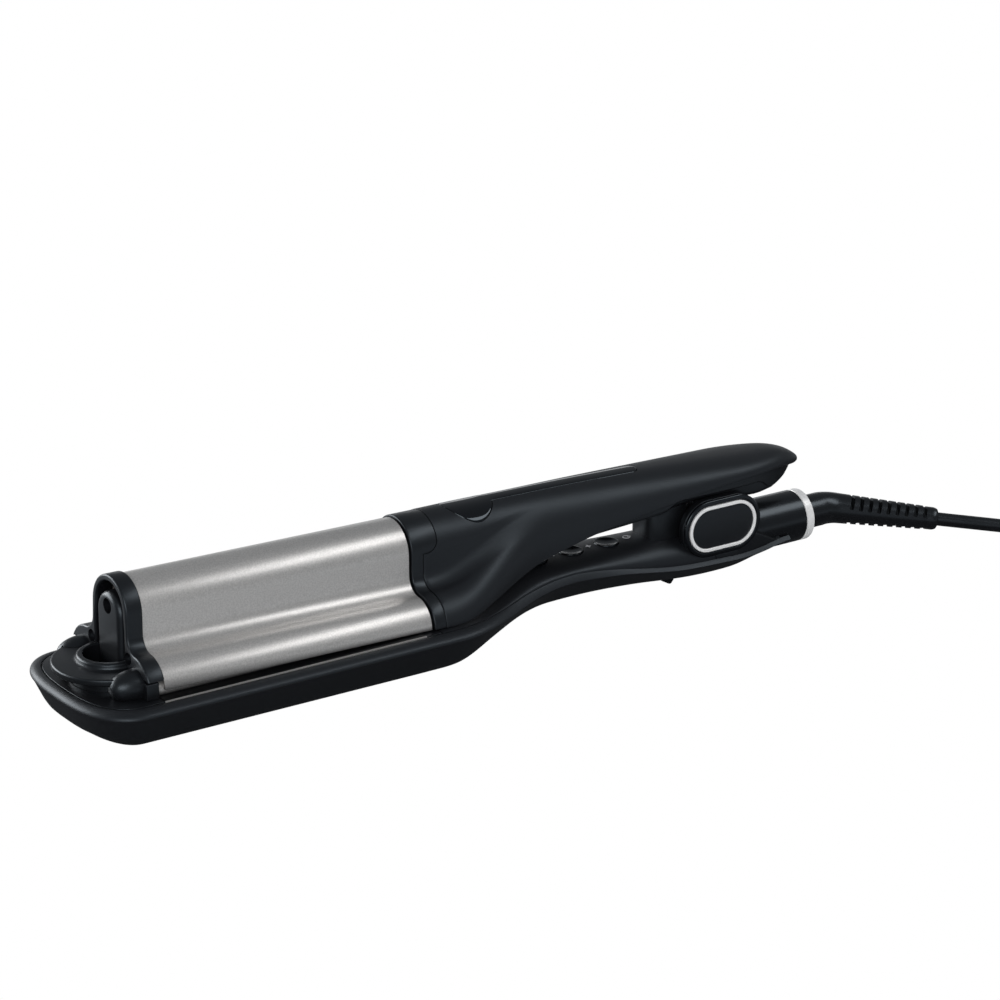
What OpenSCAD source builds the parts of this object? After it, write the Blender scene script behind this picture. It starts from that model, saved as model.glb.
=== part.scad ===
// Adjustable hair waver: two heated jaws on a sprung hinge, a centre barrel that a dial
// raises and lowers, a handle with three buttons, and a mains lead on a swivel.
// Millimetres, +Z up, standing on the flat bottom of the front tray (z = 0).
// +X runs from the tray's nose to the lead. Stations along the length are measured
// from the dial's axis, and the whole model is shifted to put x = 0 at mid length.

/* [Tray] */
// Width of the tray between its two parting lines
tray_w = 71; // [66:1:78]
// Height of the parting line above the surface the tray rests on
tray_h = 18.6; // [17:0.2:21]
// Width of the rounded rim outside the parting line
rim_w = 5.5; // [4:0.25:7]
// Fall of the rim from the parting line to its crease
rim_drop = 3; // [2:0.25:4]
// Distance from the dial's axis to the front of the parting line
nose_len = 21.9; // [20:0.1:24]
// Wall thickness of the lower shell
shell_wall = 2.2; // [1.6:0.1:2.8]
// Thickness of the deck and of the handle cover
deck_t = 2.2; // [1.6:0.1:2.6]

/* [Dial] */
// Radius of the dial's disc
dial_r = 24; // [22:0.5:25]
// Thickness of the disc
dial_t = 3; // [2:0.25:4]
// Height of the disc's top above the parting line
dial_rise = 8.4; // [7.4:0.2:9.4]
// Radius of the hole that the centre barrel's nose passes through
dial_bore_r = 10.9; // [10.9:0.1:12]
// Height of the raised lip around the hole
dial_lip_h = 2.6; // [1.5:0.1:3.2]
// Turn of the dial from the deepest to the shallowest wave
dial_turn = 180; // [120:10:220]

/* [Jaw profile] */
// Radius of the arch of the upper jaw, outside
arch_r = 14.2; // [13.6:0.1:15]
// Height of the arch's centre above the dial's top, at the front
arch_rise = 21; // [19:0.5:24]
// Radius of the convex lobe on each side of the upper jaw
lobe_r = 12.4; // [12:0.1:13]
// Distance of the lobe's centre from the middle plane
lobe_y = 20.2; // [20:0.1:21]
// Radius of the hollow between the arch and the lobe
hollow_r = 4.5; // [4:0.25:5]
// Slope of the closed upper jaw, higher at the nose
jaw_slope = 1.15; // [0.6:0.05:1.5]

/* [Plates] */
// Length of the silver plate that shows between frame and collar
plate_len = 127.2; // [110:0.5:150]
// Thickness of the silver plates
plate_t = 1.6; // [1.2:0.1:2]
// Step from the black frame and collar down to the silver plate
plate_step = 0.9; // [0.5:0.1:1.2]
// Thickness of the front frame
frame_t = 6.8; // [5:0.2:9]
// Length of the rear collar at its side
collar_len = 5.8; // [4:0.2:9]

/* [Centre barrel] */
// Outer radius of the centre barrel
centre_r = 9.8; // [9:0.1:10]
// Distance that the dial lowers the centre barrel
lift_travel = 9; // [6:0.5:9]
// Gap between the arch and the centre barrel's top at the nose
centre_gap = 4.4; // [3.6:0.1:6]

/* [Side barrels] */
// Half width of each lower side barrel
side_r = 4.7; // [4:0.1:4.8]
// Height of each side barrel above the deck
side_h = 6.6; // [5.6:0.1:6.8]
// Length of the rounded nose in front of each side barrel
nose_cap_len = 12.9; // [10:0.1:16]
// Radius of that nose
nose_cap_r = 6.8; // [6:0.1:7.2]

/* [Handle] */
// Length over which the tray narrows to the handle
shoulder_len = 63; // [55:1:75]
// Length of the slim handle, from the shoulder to the hinge
grip_len = 86.6; // [84:0.2:105]
// Width of the handle between its parting lines
handle_w = 33; // [31:0.5:36]
// Height of the handle's top face
handle_top = 25; // [24:0.2:26]
// Length of the finger side of the arm behind the hinge
tail_len = 50; // [46:0.2:52]
// Width of the slim part of the arm
arm_w = 32.6; // [30:0.2:35]
// Height of the arm's top at the hinge
arm_top = 55.6; // [53:0.2:58]
// Wall thickness of the arm's shell
arm_wall = 2; // [1.6:0.1:2.6]

/* [Hinge] */
// Height of the hinge axis
hinge_z = 27.1; // [26:0.1:28]
// Radius of the hinge pin
pin_r = 2.5; // [2:0.1:3]
// Overall width over the two hinge cheeks
cheek_w = 34; // [33:0.5:37]
// End radius of the stadium-shaped cheek
cheek_r = 12.9; // [12:0.1:13.4]
// Half distance between the centres of the cheek's round ends
cheek_half = 7.4; // [6:0.2:9]
// Width of the silver trim's face
trim_w = 1.9; // [1.2:0.1:2.4]
// Largest opening of the arm
open_angle = 15; // [10:1:15]

/* [Rear barrel] */
// Outer radius of the rear barrel at its silver ring
barrel_r = 11.5; // [11:0.1:12]
// Height of the barrel's axis
barrel_z = 16.4; // [15.6:0.1:17]
// Distance from the hinge axis to the silver ring
barrel_len = 50.4; // [46:0.2:54]
// Width of the silver ring
ring_w = 4.1; // [3:0.1:6]

/* [Controls] */
// Diameter of each button
button_d = 11; // [9:0.5:12]
// Distance between two buttons
button_pitch = 18.6; // [16:0.2:20]
// Travel of a button
button_travel = 1; // [0.6:0.1:1.2]
// Distance from the hinge axis to the power button
power_back = 50.3; // [49:0.1:56]
// Travel of the jaw lock's slider
lock_travel = 6; // [4:0.5:8]

/* [Lead] */
// Diameter of the lead
cord_d = 6; // [5:0.25:7]
// Distance from the silver ring to the bend of the strain relief
relief_neck = 15; // [12:0.5:20]
// Length of the strain relief behind its bend
relief_len = 50.4; // [45:0.2:60]
// Bend of the strain relief away from the barrel's axis
relief_bend = 31; // [20:1:40]
// Droop of the strain relief, turned about the barrel's axis
relief_roll = 15.7; // [0:0.1:20]

/* [Hidden] */
$fn = 48;
tiny = 0.01;

// ---- Clearances -------------------------------------------------------------------
fit_gap = 0.15;    // between seated covers of one body
seat_gap = 0.05;   // under a cover that rests on a ledge
run_gap = 0.3;     // between faces of different bodies
pin_gap = 0.05;    // radial, round the hinge pin and the swivel
slide_gap = 0.2;   // round a button, the slider and the lift parts

// ---- Stations from the dial's axis ------------------------------------------------
frame_x = 1;                                // front face of the front frame
plate_x = frame_x + frame_t;                // front of the silver plate
collar_x = plate_x + plate_len;             // front of the rear collar
arm_x = collar_x + collar_len;              // seam between collar and arm
shoulder_x = arm_x + 3.2;                   // the tray starts to narrow
grip_x = shoulder_x + shoulder_len;         // the handle is at its slim width
hinge_x = grip_x + grip_len;
cover_split = hinge_x - 20;                 // seam between handle cover and housing
shell_end = hinge_x + 40;                   // point of the lower shell under the barrel
ring_x = hinge_x + barrel_len;
ring_end = ring_x + ring_w;
nose_rim = 0.7 * rim_w;                     // the rim is narrower round the nose
tip_x = -nose_len - nose_rim;
body_len = ring_end - tip_x;
dial_x = -(ring_end + tip_x) / 2;           // puts x = 0 at mid length

// ---- Heights ----------------------------------------------------------------------
dial_z = tray_h + dial_rise;
arch_z = dial_z + arch_rise;
skirt_z = tray_h + 3.4;                     // lower edge of the silver plate, at the nose
centre_top = arch_z + arch_r - plate_step - plate_t - centre_gap;
centre_z = centre_top - centre_r;
frame_mid = frame_x + frame_t / 2;

// ---- Small functions --------------------------------------------------------------
function clamp(t) = min(1, max(0, t));
function ease(t) = let (u = clamp(t)) u * u * (3 - 2 * u);
function blend(a, b, x0, x1, x) = a + (b - a) * ease((x - x0) / (x1 - x0));
// height at x of a smooth curve through [x, height] points
function slope(p, i) = let (a = p[max(i - 1, 0)], b = p[min(i + 1, len(p) - 1)])
  (b[1] - a[1]) / (b[0] - a[0]);
function spline(x, p, i = 0) = i < len(p) - 2 && x > p[i + 1][0] ? spline(x, p, i + 1)
  : let (h = p[i + 1][0] - p[i][0], t = clamp((x - p[i][0]) / h), e = ease(t),
    m0 = i == 0 ? 0 : slope(p, i), m1 = i == len(p) - 2 ? 0 : slope(p, i + 1))
    (1 - e) * p[i][1] + e * p[i + 1][1] + h * t * (1 - t) * ((1 - t) * m0 - t * m1);
function steps(a, b, n) = [for (i = [0 : n]) a + (b - a) * i / n];
function arc(cx, cy, r, a0, a1, n) =
  [for (a = steps(a0, a1, n)) [cx + r * cos(a), cy + r * sin(a)]];
function mirrored_y(path) = concat(path,
  [for (i = [len(path) - 1 : -1 : 0]) [path[i][0], -path[i][1]]]);

// ---- Building blocks --------------------------------------------------------------
module place() translate([dial_x, 0, 0]) children();

// Puts a piece drawn on the +Y side (s = 1) on the near side instead (s = -1).
module side(s) mirror([0, s < 0 ? 1 : 0, 0]) children();

// Moves a piece of the upper jaw from its closed, level place up to the jaw's slope.
nose_sink = (hinge_x - frame_mid) * sin(jaw_slope);
module on_jaw() translate([hinge_x, 0, hinge_z]) rotate([0, jaw_slope, 0])
  translate([-hinge_x, 0, -hinge_z - nose_sink]) children();

// Extrudes an outline drawn as (y, z) along +X from x0 to x1.
module along_x(x0, x1) translate([x0, 0, 0]) rotate([90, 0, 90])
  linear_extrude(height = x1 - x0) children();

// Round bars with their axis parallel to Y or X, and an upright tube.
module y_bar(x, z, r, y0, y1) translate([x, y0, z]) rotate([-90, 0, 0])
  cylinder(r = r, h = y1 - y0);
module x_bar(x0, x1, r0, r1, z = 0) translate([x0, 0, z]) rotate([0, 90, 0])
  cylinder(r1 = r0, r2 = r1, h = x1 - x0);
module tube(r_in, r_out, z0, z1) difference() {
  translate([0, 0, z0]) cylinder(r = r_out, h = z1 - z0, $fn = 96);
  translate([0, 0, z0 - 1]) cylinder(r = r_in, h = z1 - z0 + 2, $fn = 96);
}

// A stadium outline, round ends at +-half.
module stadium(half, r) {
  square([2 * half, 2 * r], center = true);
  for (s = [-1, 1]) translate([s * half, 0]) circle(r = r);
}

// Skins a list of rings, each a loop that starts at one side's top, runs under the
// piece and ends at the other side's top. The ends close rung by rung.
module loft(rings) {
  n = len(rings[0]);
  m = len(rings);
  half = n / 2;
  function rungs(base, flip) = [for (j = [0 : half - 2])
    let (a = base + j, b = base + j + 1, c = base + n - 2 - j, d = base + n - 1 - j)
    each flip ? [[a, b, c], [a, c, d]] : [[c, b, a], [d, c, a]]];
  skin = [for (i = [0 : m - 2], j = [0 : n - 1])
    let (a = i * n + j, b = i * n + (j + 1) % n, c = b + n, d = a + n)
    each [[a, b, c], [a, c, d]]];
  polyhedron([for (r = rings) each r], concat(rungs(0, false), skin, rungs((m - 1) * n, true)));
}

// ---- Plan and height lines of the lower half --------------------------------------
nose_power = 2.72;          // squareness of the tray's nose
nose_back = 0.7;            // the nose curve ends this far in front of the dial's axis
side_xs = steps(4, arm_x, 3);
shoulder_xs = steps(shoulder_x, grip_x, 9);
grip_xs = steps(grip_x + 9, cover_split, 6);
rear_xs = steps(cover_split + 5, shell_end, 8);
nose_angles = [86, 80, 72, 62, 50, 37, 22, 8];

// half width of the parting line behind the nose
function half_w(x) = blend(tray_w / 2, handle_w / 2, shoulder_x, grip_x, x)
  - blend(0, 5, hinge_x + 6, shell_end + 2, x);
function part_z(x) = tray_h + spline(x, [[grip_x - 35, 0], [grip_x - 10, 1.1], [grip_x + 1, 2.3],
  [grip_x + 11, 2.7], [hinge_x - 57, 0.5], [hinge_x - 38, -3], [hinge_x - 22, -5.3],
  [hinge_x, -6.4], [hinge_x + 23, -6.8], [shell_end, -5.7]]);
function rim(x) = rim_w * (1 - 0.71 * ease((x - shoulder_x) / shoulder_len));
function drop(x) = rim_drop * (1 - 0.48 * ease((x - grip_x - 10) / 40));
// lowest level, and how far its flat lies inside the parting line
function base_z(x) = spline(x, [[shoulder_x - 10, 0], [shoulder_x + 4, 0.7], [shoulder_x + 22, 4.6],
  [grip_x - 18, 6.9], [grip_x + 14, 7.9], [hinge_x - 45, 6.9], [hinge_x - 14, 4],
  [hinge_x + 8, 3.9], [hinge_x + 24, 6], [shell_end, 9]]);
function base_in(x) = blend(0.3, 2.4, shoulder_x, grip_x, x);

// Point of the outline at nose angle t, moved outward by off and forward by ahead.
function nose_pt(t, off, ahead) = let (p = 2 / nose_power, reach = nose_len - nose_back + ahead)
  [-nose_back - reach * pow(sin(t), p), (tray_w / 2 + off) * pow(cos(t), p)];

// Levels of the lower shell from the parting line down: outward share of the rim, inward
// share of the base, drop share and base share.
shell_levels = [[0, 0, 0, 0], [0.25, 0, 0.02, 0], [0.68, 0, 0.25, 0], [0.93, 0, 0.62, 0],
  [1, 0, 1, 0], [0.88, 0, 1.12, 0], [0, 0.9, 0, 0.7], [0, 2.4, 0, 0.87], [0, 4.7, 0, 0.965],
  [0, 7.2, 0, 1]];
function level_off(x, l) = l[0] * rim(x) - (l[1] > 0 ? base_in(x) + l[1] : 0);
function level_z(x, l) = l[3] == 0 ? part_z(x) - l[2] * drop(x)
  : base_z(x) + (1 - l[3]) * 0.89 * (part_z(x) - base_z(x));
function nose_column(t) = [for (l = shell_levels)
  let (off = level_off(0, l), p = nose_pt(t, off, off > 0 ? off * nose_rim / rim_w : off * 1.6))
  [p[0], p[1], level_z(0, l)]];
function shell_column(x) = [for (l = shell_levels)
  [x, max(half_w(x) + level_off(x, l), 0.5), level_z(x, l)]];
function ring_of(column) = concat(column,
  [for (i = [len(column) - 1 : -1 : 0]) [column[i][0], -column[i][1], column[i][2]]]);

// ---- Lower shell ------------------------------------------------------------------
floor_z = shell_wall;
boss_r = 3.4;
tray_screws = [[22, 27], [120, 27], [22, -27], [120, -27]];
board_z = 16.4;
board_posts = [[grip_x - 3, 9], [grip_x + 47, 9], [grip_x - 3, -9], [grip_x + 47, -9]];
lock_x = hinge_x - 20;

// the lid's ledge, then the walls down to the floor: [inward, height share or level]
function cavity_half(x) = let (w = half_w(x) - shell_wall, in = base_in(x), b = base_z(x))
  [w, max(w - in - 1, 1.2), max(w - in - 4.5, 0.6), b];
function cavity_column(x) = let (c = cavity_half(x), z = part_z(x) - deck_t) [
  [x, c[0] + shell_wall, z + deck_t + 2], [x, c[0] + shell_wall, z], [x, c[0], z - 0.05],
  [x, c[0], z - 0.2 * (z - c[3])], [x, c[1], c[3] + shell_wall + 1.2], [x, c[2], c[3] + shell_wall]];
function cavity_nose(t) = let (z = tray_h - deck_t) [for (q = [[0, z + deck_t + 2], [0, z],
  [-shell_wall, z - 0.05], [-shell_wall, 0.8 * z], [-shell_wall - 2.5, floor_z + 1.2],
  [-shell_wall - 6, floor_z]]) let (p = nose_pt(t, q[0], q[0])) [p[0], p[1], q[1]]];

module shell_cavity() loft(concat([for (t = nose_angles) ring_of(cavity_nose(t))],
  [for (x = concat(side_xs, shoulder_xs, grip_xs, rear_xs)) if (x < hinge_x + 13)
    ring_of(cavity_column(x))]));

module lower_shell() color("#26272b") place() difference() {
  union() {
    difference() {
      loft(concat([for (t = nose_angles) ring_of(nose_column(t))],
        [for (x = concat(side_xs, shoulder_xs, grip_xs, rear_xs)) ring_of(shell_column(x))]));
      shell_cavity();
    }
    for (p = tray_screws) translate([p[0], p[1], 1])
      cylinder(r = boss_r, h = tray_h - deck_t - 1);
    for (p = board_posts) translate([p[0], p[1], base_z(p[0]) + 1])
      cylinder(r = 2.4, h = board_z - base_z(p[0]) - 1);
  }
  for (p = tray_screws) translate([p[0], p[1], -1]) {
    cylinder(r = screw_head_r + slide_gap, h = screw_seat + 1);
    cylinder(r = screw_r, h = 13);
  }
  x_bar(hinge_x + 8, ring_x, barrel_front_r + fit_gap, barrel_r + fit_gap, barrel_z);
  translate([lock_x - lock_neck - slide_gap, -lock_neck_y - slide_gap, 0])
    cube([2 * lock_neck + lock_travel + 2 * slide_gap, 2 * (lock_neck_y + slide_gap), 12]);
}

screw_head_r = 2.4;
screw_r = 1.25;
screw_seat = 1.8;
module case_screws() color("#8d9096") place() for (p = tray_screws) translate([p[0], p[1], 0]) {
  translate([0, 0, 0.4]) cylinder(r = screw_head_r, h = screw_seat - 0.4);
  translate([0, 0, 0.5]) cylinder(r = screw_r, h = 11);
}

// ---- Deck -------------------------------------------------------------------------
deck_end = collar_x + 2;
bearing_r = 16.4;
cam_r = 13.6;
slot_x = 25.2;
barrel_low = 13;                            // lower edge of the centre barrel's skirts
centre_x = 3.5;                             // front of the centre barrel
centre_end = collar_x - 2;
strip_x = plate_x + 1;                      // front of the side barrels' silver strip
strip_end = collar_x - 6;
strip_in = 15;
strip_t = 1.2;
strip_rise = 0.4;                           // the strip stands this far above the deck

module deck() color("#202126") place() difference() {
  translate([0, 0, tray_h - deck_t]) linear_extrude(height = deck_t) polygon(mirrored_y(concat(
    [for (t = concat([89], nose_angles, [0])) nose_pt(t, -fit_gap, -fit_gap)],
    [[deck_end, tray_w / 2 - fit_gap]])));
  cylinder(r = bearing_r + fit_gap, h = 40);
  translate([slot_x, -centre_r - slide_gap, 0])
    cube([centre_end + run_gap - slot_x, 2 * (centre_r + slide_gap), 40]);
  for (s = [-1, 1]) side(s) translate([strip_x - fit_gap, strip_in - fit_gap, strip_base])
    cube([strip_end - strip_x + 2 * fit_gap, tray_w, 10]);
  for (s = [-1, 1]) side(s) translate([foot_x - fit_gap, side_y - side_r - fit_gap, strip_base])
    cube([strip_x - foot_x + 1, 2 * (side_r + fit_gap), 10]);
}
strip_base = tray_h + strip_rise - strip_t;

// A ring standing on the tray's floor that carries the dial's sleeve.
module dial_bearing() color("#2f3136") place() {
  rotate_extrude($fn = 96) polygon([[cam_r + pin_gap, floor_z], [cam_r + 0.3, floor_z + 0.1],
    [bearing_r, floor_z + 1.1], [bearing_r, dial_z - dial_t - run_gap],
    [cam_r + pin_gap, dial_z - dial_t - run_gap]]);
  tube(bearing_r - 1, bearing_r + 3, tray_h - deck_t - 2, tray_h - deck_t);
}

// ---- Side barrels and their noses -------------------------------------------------
side_y = 24.5;
side_cz = tray_h + side_h - side_r;
foot_x = 5.2;
module dial_slot() translate([0, 0, dial_z - dial_t - 1.4])
  cylinder(r = dial_r + 0.5, h = dial_t + 1.8, $fn = 96);

module side_barrel(s) color("#c9cbd0") place() difference() {
  side(s) {
    along_x(foot_x, strip_end) side_profile(side_r);
    translate([strip_x, strip_in, strip_base])
      cube([strip_end - strip_x, tray_w / 2 - 0.2 - strip_in, strip_t]);
  }
  side(s) along_x(foot_x + 2, strip_end - 2) side_profile(side_r - 1.1, -tray_h);
  dial_slot();
}
module side_profile(r, low = 0) translate([side_y, 0]) polygon(concat(
  [[r, strip_base + low]], arc(0, side_cz, r, 0, 180, 12), [[-r, strip_base + low]]));
module side_barrel_left() side_barrel(-1);
module side_barrel_right() side_barrel(1);

module lower_heaters() color("#b5a27a") place() for (s = [-1, 1]) side(s)
  along_x(30, strip_end - 12) translate([side_y, 0]) polygon(concat([[side_r - 1.2, strip_base]],
    arc(0, side_cz, side_r - 1.2, 0, 180, 10), [[1.2 - side_r, strip_base]]));

nose_cap_z = tray_h + 4.2;
nose_cap_y = 21.8;
nose_cap_x = frame_x - run_gap;
module nose_cap(s) color("#202126") place() difference() {
  side(s) {
    translate([nose_cap_x, nose_cap_y, nose_cap_z]) rotate([0, -90, 0]) rotate_extrude()
      polygon(concat([[0, 0]], [for (t = [0 : 7.5 : 90]) [nose_cap_r * pow(cos(t), 0.85),
        nose_cap_len * pow(sin(t), 0.85)]]));
    translate([-0.1, 18, tray_h]) cube([foot_x - fit_gap + 0.1, 13.5, 7.2]);
  }
  translate([-40, -60, tray_h - 40]) cube([80, 120, 40]);
  cylinder(r = bearing_r + fit_gap, h = dial_z - dial_t, $fn = 96);
  dial_slot();
}
module nose_cap_left() nose_cap(-1);
module nose_cap_right() nose_cap(1);

// ---- Handle cover and housing -----------------------------------------------------
cover_power = 3.2;
cover_angles = [84, 68, 54, 40, 26, 13, 4, 0];
power_x = hinge_x - power_back;
buttons = [power_x, power_x - button_pitch, power_x - 2 * button_pitch];
function cover_top(x) = spline(x, [[arm_x + 8, tray_h + 0.3], [arm_x + 22, tray_h + 0.9],
  [grip_x - 8, handle_top - 0.8], [grip_x + 10, handle_top], [hinge_x - 20, handle_top]]);
function cover_column(x, inset, sink, low) =
  let (w = half_w(x) - fit_gap - inset, z = part_z(x), h = cover_top(x) - z, p = 2 / cover_power)
  concat([for (t = cover_angles) [x, w * pow(cos(t), p), z - sink + h * pow(sin(t), p)]],
    [[x, w, z - deck_t - low]]);
module cover_loft(xs, inset, sink, low)
  loft([for (x = xs) ring_of(cover_column(x, inset, sink, low))]);

module handle_cover() color("#202126") place() difference() {
  cover_loft(concat([deck_end, arm_x], shoulder_xs, grip_xs), 0, 0, -seat_gap);
  cover_loft(concat(steps(shoulder_x + 33, grip_x, 5), steps(grip_x + 9, cover_split - 2, 6)),
    shell_wall + fit_gap, deck_t, 4);
  for (x = buttons) translate([x, 0, handle_top - 6]) cylinder(r = button_d / 2 + slide_gap, h = 12);
}

knuckle_r = 6.5;
lug_in = 5.2;                               // inner and outer face of each hinge lug
lug_out = 9.3;
cheek_in = 11.8;
cheek_mid = cheek_w / 2 - 1.8;              // seat of the pivot cap
post_y = 9;
post_top = handle_top + 7;
well = knuckle_r + 1;

module hinge_housing() color("#202126") place() difference() {
  union() {
    cover_loft(concat([cover_split + fit_gap], [for (x = rear_xs) if (x < hinge_x + 9) x],
      [hinge_x + 9.6]), 0, 0, -seat_gap);
    translate([hinge_x - 31, -post_y, handle_top + fit_gap])
      cube([20, 2 * post_y, post_top - handle_top - fit_gap]);
    translate([cover_split + 1, -post_y, handle_top - 6]) cube([7, 2 * post_y, 8]);
    for (s = [-1, 1]) side(s) {
      cheek(cheek_in, cheek_mid, cheek_r);
      y_bar(hinge_x, hinge_z, knuckle_r, lug_out + run_gap, cheek_in + 1);
    }
  }
  translate([hinge_x - well, -lug_out - run_gap, hinge_z - well])
    cube([2 * well, 2 * (lug_out + run_gap), 3 * well]);
  y_bar(hinge_x, hinge_z, pin_r, -cheek_w, cheek_w);
  cover_loft(steps(cover_split, hinge_x - well - 2, 3), shell_wall + fit_gap, deck_t, 4);
  for (s = [-1, 1]) side(s) cheek(cheek_mid, cheek_w, cheek_r + fit_gap);
}
module cheek(y0, y1, r, half = cheek_half) translate([hinge_x, y1, hinge_z]) rotate([90, 0, 0])
  linear_extrude(height = y1 - y0) stadium(half, r);

trim_out = cheek_r - 2.55;
module pivot_cap(s) color("#17181b") place() side(s) difference() {
  union() {
    cheek(cheek_mid, cheek_w / 2 - 0.6, cheek_r);
    cheek(cheek_mid, cheek_w / 2, cheek_r - 0.6);
  }
  cheek(cheek_w / 2 - 1.1, cheek_w, trim_out + fit_gap);
}
module trim_ring(s) color("#d9dbe0") place() side(s) difference() {
  cheek(cheek_w / 2 - 1.1, cheek_w / 2 + 0.3, trim_out);
  cheek(cheek_w / 2 - 2, cheek_w, trim_out - trim_w);
}
module trim_plate(s) color("#26272b") place() side(s)
  cheek(cheek_w / 2 - 1.1, cheek_w / 2 - 0.2, trim_out - trim_w - fit_gap);
module pivot_cap_left() pivot_cap(-1);
module pivot_cap_right() pivot_cap(1);
module trim_ring_left() trim_ring(-1);
module trim_ring_right() trim_ring(1);
module trim_plate_left() trim_plate(-1);
module trim_plate_right() trim_plate(1);

module hinge_pin() color("#a9abb0") place() y_bar(hinge_x, hinge_z, pin_r, -cheek_mid, cheek_mid);

// A coil round the pin with one leg on the housing and one under the arm's bracket.
wire_r = 0.7;
coil_r = pin_r + wire_r + 0.4;
coil_half_w = 2.9;
module torsion_spring() color("#8f9299") place() {
  for (y = steps(-coil_half_w, coil_half_w, 4)) translate([hinge_x, y, hinge_z]) rotate([90, 0, 0])
    rotate_extrude($fn = 40) translate([coil_r, 0]) circle(r = wire_r, $fn = 28);
  translate([hinge_x, -coil_half_w, hinge_z + coil_r]) rotate([0, 90, 0])
    cylinder(r = wire_r - 0.08, h = well - 1.4);
  translate([hinge_x, coil_half_w, hinge_z - coil_r]) rotate([0, 90, 0])
    cylinder(r = wire_r - 0.08, h = well - 0.8);
}

// ---- Rear barrel ------------------------------------------------------------------
barrel_front_r = barrel_r + 0.2;
barrel_x = hinge_x + 9.8;
neck_r = 7.5;
flange_r = 9;
flange_x = ring_x - 4;
module rear_barrel() color("#1b1c20") place() difference() {
  x_bar(barrel_x, ring_x, barrel_front_r, barrel_r, barrel_z);
  x_bar(barrel_x + 4, ring_x - 7, barrel_r - 2, barrel_r - 2, barrel_z);
  x_bar(ring_x - 8, ring_x + 1, flange_r + slide_gap, flange_r + slide_gap, barrel_z);
}
module end_ring() color("#d5d7dc") place() difference() {
  x_bar(ring_x, ring_end, barrel_r, barrel_r, barrel_z);
  x_bar(ring_x - 1, ring_end + 1, neck_r + pin_gap, neck_r + pin_gap, barrel_z);
}

// ---- Electrics --------------------------------------------------------------------
board_t = 1.6;
module circuit_board() color("#2f6b3a") place() {
  translate([grip_x - 7, -12.5, board_z]) cube([58, 25, board_t]);
  for (x = buttons) translate([x - 3, -3, board_z + board_t - 0.1]) cube([6, 6, switch_h + 0.1]);
}
switch_h = 1.2;
module terminal_block() color("#d8d2c0") place()
  translate([grip_x + 44, -6, board_z + board_t]) cube([5, 12, 4]);

// ---- Dial and lift ----------------------------------------------------------------
cam_top = dial_z - dial_t;
cam_low = 4.5;
lift_pin_z = 16;                            // height of the pin at rest
lift_pin_r = 1.1;
groove_cuts = 24;

module dial_ring() color("#1d1e22") place() rotate_extrude($fn = 96) polygon([
  [dial_bore_r, dial_z - dial_t], [dial_r - 0.7, dial_z - dial_t], [dial_r, dial_z - dial_t + 0.7],
  [dial_r, dial_z - 0.7], [dial_r - 0.7, dial_z], [dial_bore_r + 3.4, dial_z],
  [dial_bore_r + 3, dial_z + 0.5], [dial_bore_r + 2.6, dial_z + dial_lip_h - 0.7],
  [dial_bore_r + 1.9, dial_z + dial_lip_h], [dial_bore_r + 0.6, dial_z + dial_lip_h],
  [dial_bore_r, dial_z + dial_lip_h - 0.6]]);

// A sleeve below the dial whose helical slot drives the lift pin down as the dial turns.
module cam_sleeve() color("#3a3c42") place() difference() {
  tube(dial_bore_r, cam_r, cam_low, cam_top);
  for (i = [0 : groove_cuts]) rotate([0, 0, 90 - dial_turn * i / groove_cuts])
    translate([dial_bore_r - 1, 0, lift_pin_z - lift_travel * i / groove_cuts])
      rotate([0, 90, 0]) cylinder(r = lift_pin_r + 0.4, h = 6, $fn = 24);
}

module lift_pin() color("#a9abb0") place()
  translate([0, 5, lift_pin_z]) rotate([-90, 0, 0]) cylinder(r = lift_pin_r, h = cam_r - 5.4, $fn = 24);

cap_x = centre_x - 4;                       // front of the tongue
cap_half = centre_r + 0.2;
cap_screw_z = centre_top - 5.3;
module centre_cap() color("#202126") place() difference() {
  union() {
    along_x(cap_x, centre_x) polygon(concat([[cap_half, lift_pin_z - 3]],
      arc(0, centre_top - cap_half, cap_half, 0, 180, 20), [[-cap_half, lift_pin_z - 3]]));
    translate([-4, -9, lift_pin_z - 3]) cube([8, 18, 6]);
  }
  translate([0, 5, lift_pin_z]) rotate([-90, 0, 0]) cylinder(r = lift_pin_r, h = 9, $fn = 24);
  x_bar(cap_x - 1, centre_x + 1, screw_r, screw_r, cap_screw_z);
  x_bar(cap_x - 1, cap_x + 1.2, screw_head_r - 0.4, screw_head_r - 0.4, cap_screw_z);
}
module cap_screw() color("#8d9096") place() {
  x_bar(cap_x + 0.3, cap_x + 1.2, screw_head_r - 0.6, screw_head_r - 0.6, cap_screw_z);
  x_bar(cap_x + 1, centre_x + 4, screw_r - 0.05, screw_r - 0.05, cap_screw_z);
}

// The barrel's underside is cut away above the dial, which it clears when lowered.
raise_z = dial_z + dial_lip_h + lift_travel + 0.6;
module arch(r, low) polygon(concat([[r, low]], arc(0, centre_z, r, 0, 180, 24), [[-r, low]]));
module centre_barrel() color("#c9cbd0") place() difference() {
  union() {
    along_x(centre_x, centre_end) arch(centre_r, raise_z);
    along_x(slot_x + run_gap, centre_end) arch(centre_r, barrel_low);
  }
  along_x(centre_x + 3.5, centre_end - 3) arch(centre_r - 1.8, -5);
  x_bar(centre_x - 1, centre_x + 5, screw_r - 0.05, screw_r - 0.05, cap_screw_z);
}
module centre_heater() color("#b5a27a") place() along_x(30, centre_end - 12)
  polygon(concat([[centre_r - 1.9, centre_z]], arc(0, centre_z, centre_r - 1.9, 0, 180, 16),
    [[1.9 - centre_r, centre_z]]));

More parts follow.
